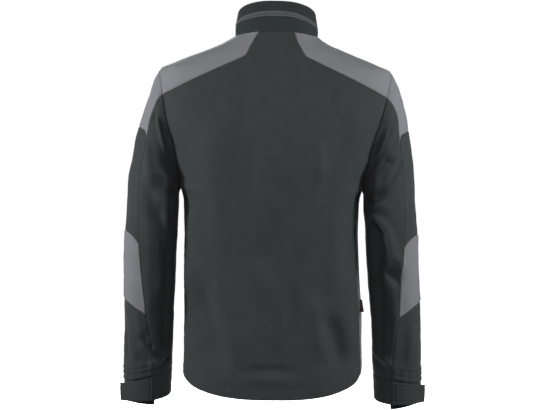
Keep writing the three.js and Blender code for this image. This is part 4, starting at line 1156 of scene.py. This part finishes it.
def box_mesh(name, places, material):
    """Small boxes as one piece. A place is a centre, then half of each size as a vector: across, out, up."""
    corners = np.array([[x, y, z] for z in (-1, 1) for y in (-1, 1) for x in (-1, 1)], float)
    quads = np.array([[0, 2, 3, 1], [4, 5, 7, 6], [0, 1, 5, 4], [2, 6, 7, 3], [0, 4, 6, 2], [1, 3, 7, 5]])
    points, faces = [], []
    for centre, across, out, up in places:
        turned = corners if np.dot(np.cross(across, out), up) > 0 else corners * [-1, 1, 1]
        faces += (quads + len(points)).tolist()
        points += (centre + turned @ np.stack([across, out, up])).tolist()
    piece = add_mesh(name, points, faces, material)
    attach(piece, "jacket")
    return piece


def zip_tapes():
    shares = np.concatenate([np.arange(0, 0.995, 0.006), [0.997, 1.03], np.linspace(1.06, 1.99, 24)])
    for side, label in SIDES.items():
        points, out = centre_front(shares[:, None], side * np.array(ZIP_TAPE.beside)[None])
        lift = np.full(points.shape[:2], ZIP_TAPE.lift)
        depth = lift - ZIP_TAPE.thickness
        cloth_piece(f"zip_tape_{label}", tape, points, out, lift, depth)


def zip_teeth():
    """Teeth from both sides by turns, up to the slider."""
    collar_ends, _ = centre_front(np.array([1.001, 2.0]), 0)
    collar_height = float(np.linalg.norm(collar_ends[1] - collar_ends[0]))
    slider_bottom = 2 - SLIDER.from_top / collar_height - SLIDER.length / collar_height
    shares = np.concatenate([np.linspace(0.002, 0.999, 700), np.linspace(1.001, slider_bottom - 0.02, 80)])
    points, out = centre_front(shares, 0)
    run = run_along(points)
    places = []
    for i, at in enumerate(np.arange(2, run[-1], TOOTH.pitch / 2)):
        centre, facing = at_run(at, run, points), unit(at_run(at, run, out))
        ahead = at_run(at + 1, run, points) - centre
        up = np.array([0, 0, 1.0])
        if np.linalg.norm(ahead) > 1e-6:
            up = unit(ahead - facing * ahead.dot(facing))
        across = np.cross(facing, up)
        middle = centre + across * (TOOTH.shift if i % 2 else -TOOTH.shift) - facing * TOOTH.thickness / 2
        sizes = (across * TOOTH.half, facing * TOOTH.thickness / 2, up * TOOTH.pitch * TOOTH.height_share)
        places.append((middle, *sizes))
    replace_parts(box_mesh("zip_teeth_row", places, zip_plastic), "zip_teeth")


# Stitches lie on the panels' outer grids, along lines at a distance from one edge.

STITCH = SimpleNamespace(pitch=3.3, length=2.4, width=0.55, height=0.5, shortest=0.8, stand=0.05)


def line_beside(grid, edge, distance):
    """Points along an edge, and their directions away from the cloth."""
    normals = unit(np.cross(np.gradient(grid, axis=1), np.gradient(grid, axis=0)))
    both = np.concatenate([grid, normals], axis=-1)
    if edge in ("left", "right"):
        both = both.transpose(1, 0, 2)
    if edge in ("top", "right"):
        both = both[::-1]
    run = run_along(both[..., :3])
    found = [[np.interp(distance, run[:, i], both[:, i, k]) for k in range(6)] for i in range(both.shape[1])]
    return np.array(found)[:, :3], np.array(found)[:, 3:]


def stitch_places(points, normals, inside):
    run = run_along(points)
    places = []
    for at in np.arange(STITCH.pitch, run[-1] - STITCH.pitch, STITCH.pitch):
        here, ahead = at_run(at, run, points), at_run(at + STITCH.length, run, points)
        facing = unit(at_run(at, run, normals))
        if facing.dot(here - inside) < 0:
            facing = -facing
        length = np.linalg.norm(ahead - here)
        if length < STITCH.shortest:
            continue
        direction = (ahead - here) / length
        across = np.cross(direction, facing)
        sizes = (across * STITCH.width / 2, facing * STITCH.height / 2, direction * length / 2)
        places.append(((here + ahead) / 2 + facing * STITCH.stand, *sizes))
    return places


def stitches(name, material, rows):
    """A row is a panel, the edge it follows, its distance, the part used and a point behind the cloth."""
    places = []
    for panel, edge, distance, low, high, inside in rows:
        points, facing = line_beside(panels[panel], edge, distance)
        used = slice(round(low * (len(points) - 1)), round(high * (len(points) - 1)) + 1)
        places += stitch_places(points[used], facing[used], np.array(inside, float))
    box_mesh(name, places, material)


def all_stitches():
    middle = (0, 0, -350)
    rows = [
        ("back", "bottom", HEM_STITCH, 0, 1, middle),
        ("back", "top", 3.2, 0.38, 0.62, (0, 0, -60)),
        ("collar_top", "top", 3.0, 0.01, 0.99, (0, 0, 0)),
        ("collar_stand", "bottom", 2.6, 0.01, 0.99, (0, 0, 0)),
    ]
    for label in SIDES.values():
        rows += [
            (f"front_{label}", "bottom", HEM_STITCH, 0, 1, middle),
            (f"front_{label}", "right", 6.0, 0, 1, middle),
            (f"side_panel_{label}", "bottom", HEM_STITCH, 0, 1, middle),
        ]
    stitches("body_stitches", thread, rows)
    for side, label in SIDES.items():
        wrist, elbow = (side * 250, -25, -680), (side * 245, 0, -450)
        rows = [(f"sleeve_outer_{label}", "top", distance, 0.02, 1, wrist) for distance in CUFF_STITCHES]
        rows += [
            (f"wrist_tab_{label}", "bottom", TAB.stitch, 0.0, 0.96, wrist),
            (f"wrist_tab_{label}", "top", TAB.stitch, 0.0, 0.96, wrist),
            (f"wrist_tab_{label}", "right", TAB.stitch, 0.12, 0.88, wrist),
        ]
        stitches(f"sleeve_stitches_{label}", thread, rows)
        patch, edges = f"elbow_patch_{label}", ("bottom", "top", "left")
        rows = [(patch, edge, PATCH.stitch, 0.02, 0.98, elbow) for edge in edges]
        stitches(f"patch_stitches_{label}", grey_thread, rows)


# Materials

def set_inputs(node, **values):
    """Sets a node's inputs, with _ for the blanks in their names."""
    for name, value in values.items():
        node.inputs[name.replace("_", " ")].default_value = value
    return node


def new_shader(name):
    material = bpy.data.materials.new(name)
    material.use_nodes = True
    return material, material.node_tree, material.node_tree.nodes["Principled BSDF"]


def add_bump(tree, shader, height, strength, distance):
    bump = set_inputs(tree.nodes.new("ShaderNodeBump"), Strength=strength, Distance=distance)
    tree.links.new(height, bump.inputs["Height"])
    tree.links.new(bump.outputs["Normal"], shader.inputs["Normal"])


def hex_colour(text):
    channels = [int(text[i : i + 2], 16) / 255 for i in (0, 2, 4)]
    return tuple(c / 12.92 if c <= 0.04045 else ((c + 0.055) / 1.055) ** 2.4 for c in channels) + (1.0,)


def softshell(name, colour, dark, roughness=0.78, sheen=0.12, weave=1.0):
    """A closely woven face: fine warp and weft as bump, with a slight unevenness in shade."""
    material, tree, shader = new_shader(name)
    set_inputs(shader, Roughness=roughness, Sheen_Weight=sheen, Sheen_Roughness=0.5, Specular_IOR_Level=0.12)
    place = tree.nodes.new("ShaderNodeTexCoord")
    both = tree.nodes.new("ShaderNodeMath")
    both.operation = "MAXIMUM"
    for socket, axis in zip(both.inputs, "XY"):
        wave = tree.nodes.new("ShaderNodeTexWave")
        wave.bands_direction = axis
        set_inputs(wave, Scale=2600.0 / (2 * math.pi) * weave, Distortion=1.2, Detail=1.0)
        tree.links.new(place.outputs["UV"], wave.inputs["Vector"])
        tree.links.new(wave.outputs["Fac"], socket)
    add_bump(tree, shader, both.outputs[0], 0.16, 0.00012)
    mottle = set_inputs(tree.nodes.new("ShaderNodeTexNoise"), Scale=38.0, Detail=6.0, Roughness=0.65)
    tree.links.new(place.outputs["Object"], mottle.inputs["Vector"])
    shades = tree.nodes.new("ShaderNodeValToRGB")
    for stop, position, shade in zip(shades.color_ramp.elements, (0.25, 0.75), (dark, colour)):
        stop.position, stop.color = position, hex_colour(shade)
    tree.links.new(mottle.outputs["Fac"], shades.inputs["Fac"])
    tree.links.new(shades.outputs["Color"], shader.inputs["Base Color"])
    return material


def plain(name, colour, roughness, metallic=0.0, grain=900.0, depth=0.00008):
    material, tree, shader = new_shader(name)
    set_inputs(shader, Base_Color=hex_colour(colour), Roughness=roughness, Metallic=metallic)
    place = tree.nodes.new("ShaderNodeTexCoord")
    noise = set_inputs(tree.nodes.new("ShaderNodeTexNoise"), Scale=grain, Detail=3.0)
    tree.links.new(place.outputs["Object"], noise.inputs["Vector"])
    add_bump(tree, shader, noise.outputs["Fac"], 0.3, depth)
    return material


# Each cloth is its slot and its material
charcoal = ("charcoal_softshell", softshell("charcoal softshell", "333838", "2f3333", sheen=0.03))
collar_charcoal = ("charcoal_softshell", softshell("collar charcoal", "292f2f", "252a2a", sheen=0.03))
grey = ("grey_softshell", softshell("grey softshell", "75777b", "707276", roughness=0.82, sheen=0.02))
trim = ("collar_trim", softshell("collar trim", "505354", "4a4d4e", roughness=0.65, sheen=0.03, weave=0.5))
knit = ("black_knit", softshell("black rib knit", "151717", "101212", roughness=0.95, sheen=0.1, weave=0.4))
tape = ("zip_tape", softshell("zip tape", "191b1b", "141515", roughness=0.9, weave=0.7))
label_cloth = ("label", softshell("label", "452b2e", "241f20", roughness=0.8, weave=0.4))
zip_plastic = plain("zip teeth", "232526", 0.45)
zip_metal = plain("zip metal", "303233", 0.38, 0.85, 300.0, 0.00003)
thread = plain("thread", "2b3031", 0.7)
grey_thread = plain("grey thread", "6a6c70", 0.7)

body_panels()
sleeves()
for side in SIDES:
    cuff(side)
    wrist_tab(side)
    storm_cuff(side)
collar()
side_label()
zip_tapes()
zip_teeth()
all_stitches()

# Zip slider and pull keep their solids' shape
for node in ("zip_slider", "zip_pull"):
    shown = next(o for o in bpy.data.objects if o.get("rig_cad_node") == node)
    shown.data.materials.clear()
    shown.data.materials.append(zip_metal)
    rounded = shown.modifiers.new("rounded edges", "BEVEL")
    rounded.width = 0.00025
    rounded.segments = 2

# Camera, lights and floor
camera_data = bpy.data.cameras.new("camera")
camera_data.lens = 105.7
camera_data.sensor_width = 36
camera = bpy.data.objects.new("camera", camera_data)
camera.location = (0, 3.2, -0.336)
camera.rotation_euler = (math.radians(90), 0, math.radians(180))
bpy.context.scene.collection.objects.link(camera)
bpy.context.scene.camera = camera

LIGHTS = table(
    "name place aim size power",
    ("key soft light", (0.05, 1.7, 0.4), (0, 0, -0.2), 0.5, 7.5),
    ("left soft light", (1.4, 0.58, 0.1), (0, 0, -0.3), 0.3, 20.5),
    ("right soft light", (-1.4, 0.62, 0.1), (0, 0, -0.3), 0.3, 19),
    ("high soft light", (-0.5, 1.8, 2.2), (0, 0, -0.2), 1.0, 2.5),
    ("far soft light", (0.5, -3.0, 0.8), (0, 0, -0.3), 1.3, 125),
)
for row in LIGHTS:
    data = bpy.data.lights.new(row["name"], "AREA")
    data.shape = "SQUARE"
    data.size = row["size"]
    data.energy = row["power"]
    light = bpy.data.objects.new(row["name"], data)
    light.location = row["place"]
    light.rotation_euler = (Vector(row["aim"]) - Vector(row["place"])).to_track_quat("-Z", "Y").to_euler()
    bpy.context.scene.collection.objects.link(light)

world = bpy.data.worlds.new("studio")
world.use_nodes = True
set_inputs(world.node_tree.nodes["Background"], Color=(1, 1, 1, 1), Strength=0.13)
bpy.context.scene.world = world
bpy.context.scene.view_settings.view_transform = "Standard"


def glowing(material):
    shader = material.node_tree.nodes["Principled BSDF"]
    return set_inputs(shader, Emission_Color=(1, 1, 1, 1), Emission_Strength=1.0)


floor_height = cad_box[0].z - 0.3
bpy.ops.mesh.primitive_circle_add(vertices=96, radius=14, fill_type="NGON", location=(0, 0, floor_height))
floor = bpy.context.object
floor.name = "floor"
floor_material = plain("pale floor", "f4f4f4", 0.9)
glowing(floor_material)
floor.data.materials.append(floor_material)
floor.visible_diffuse = False

# A white backdrop all round, which lights nothing
bpy.ops.mesh.primitive_uv_sphere_add(segments=48, ring_count=24, radius=15, location=(0, 0, 0))
backdrop = bpy.context.object
backdrop.name = "backdrop"
glowing_white, _, _ = new_shader("white backdrop")
set_inputs(glowing(glowing_white), Base_Color=(0, 0, 0, 1))
backdrop.data.materials.append(glowing_white)
for ray in ("visible_diffuse", "visible_glossy", "visible_shadow", "visible_transmission"):
    setattr(backdrop, ray, False)
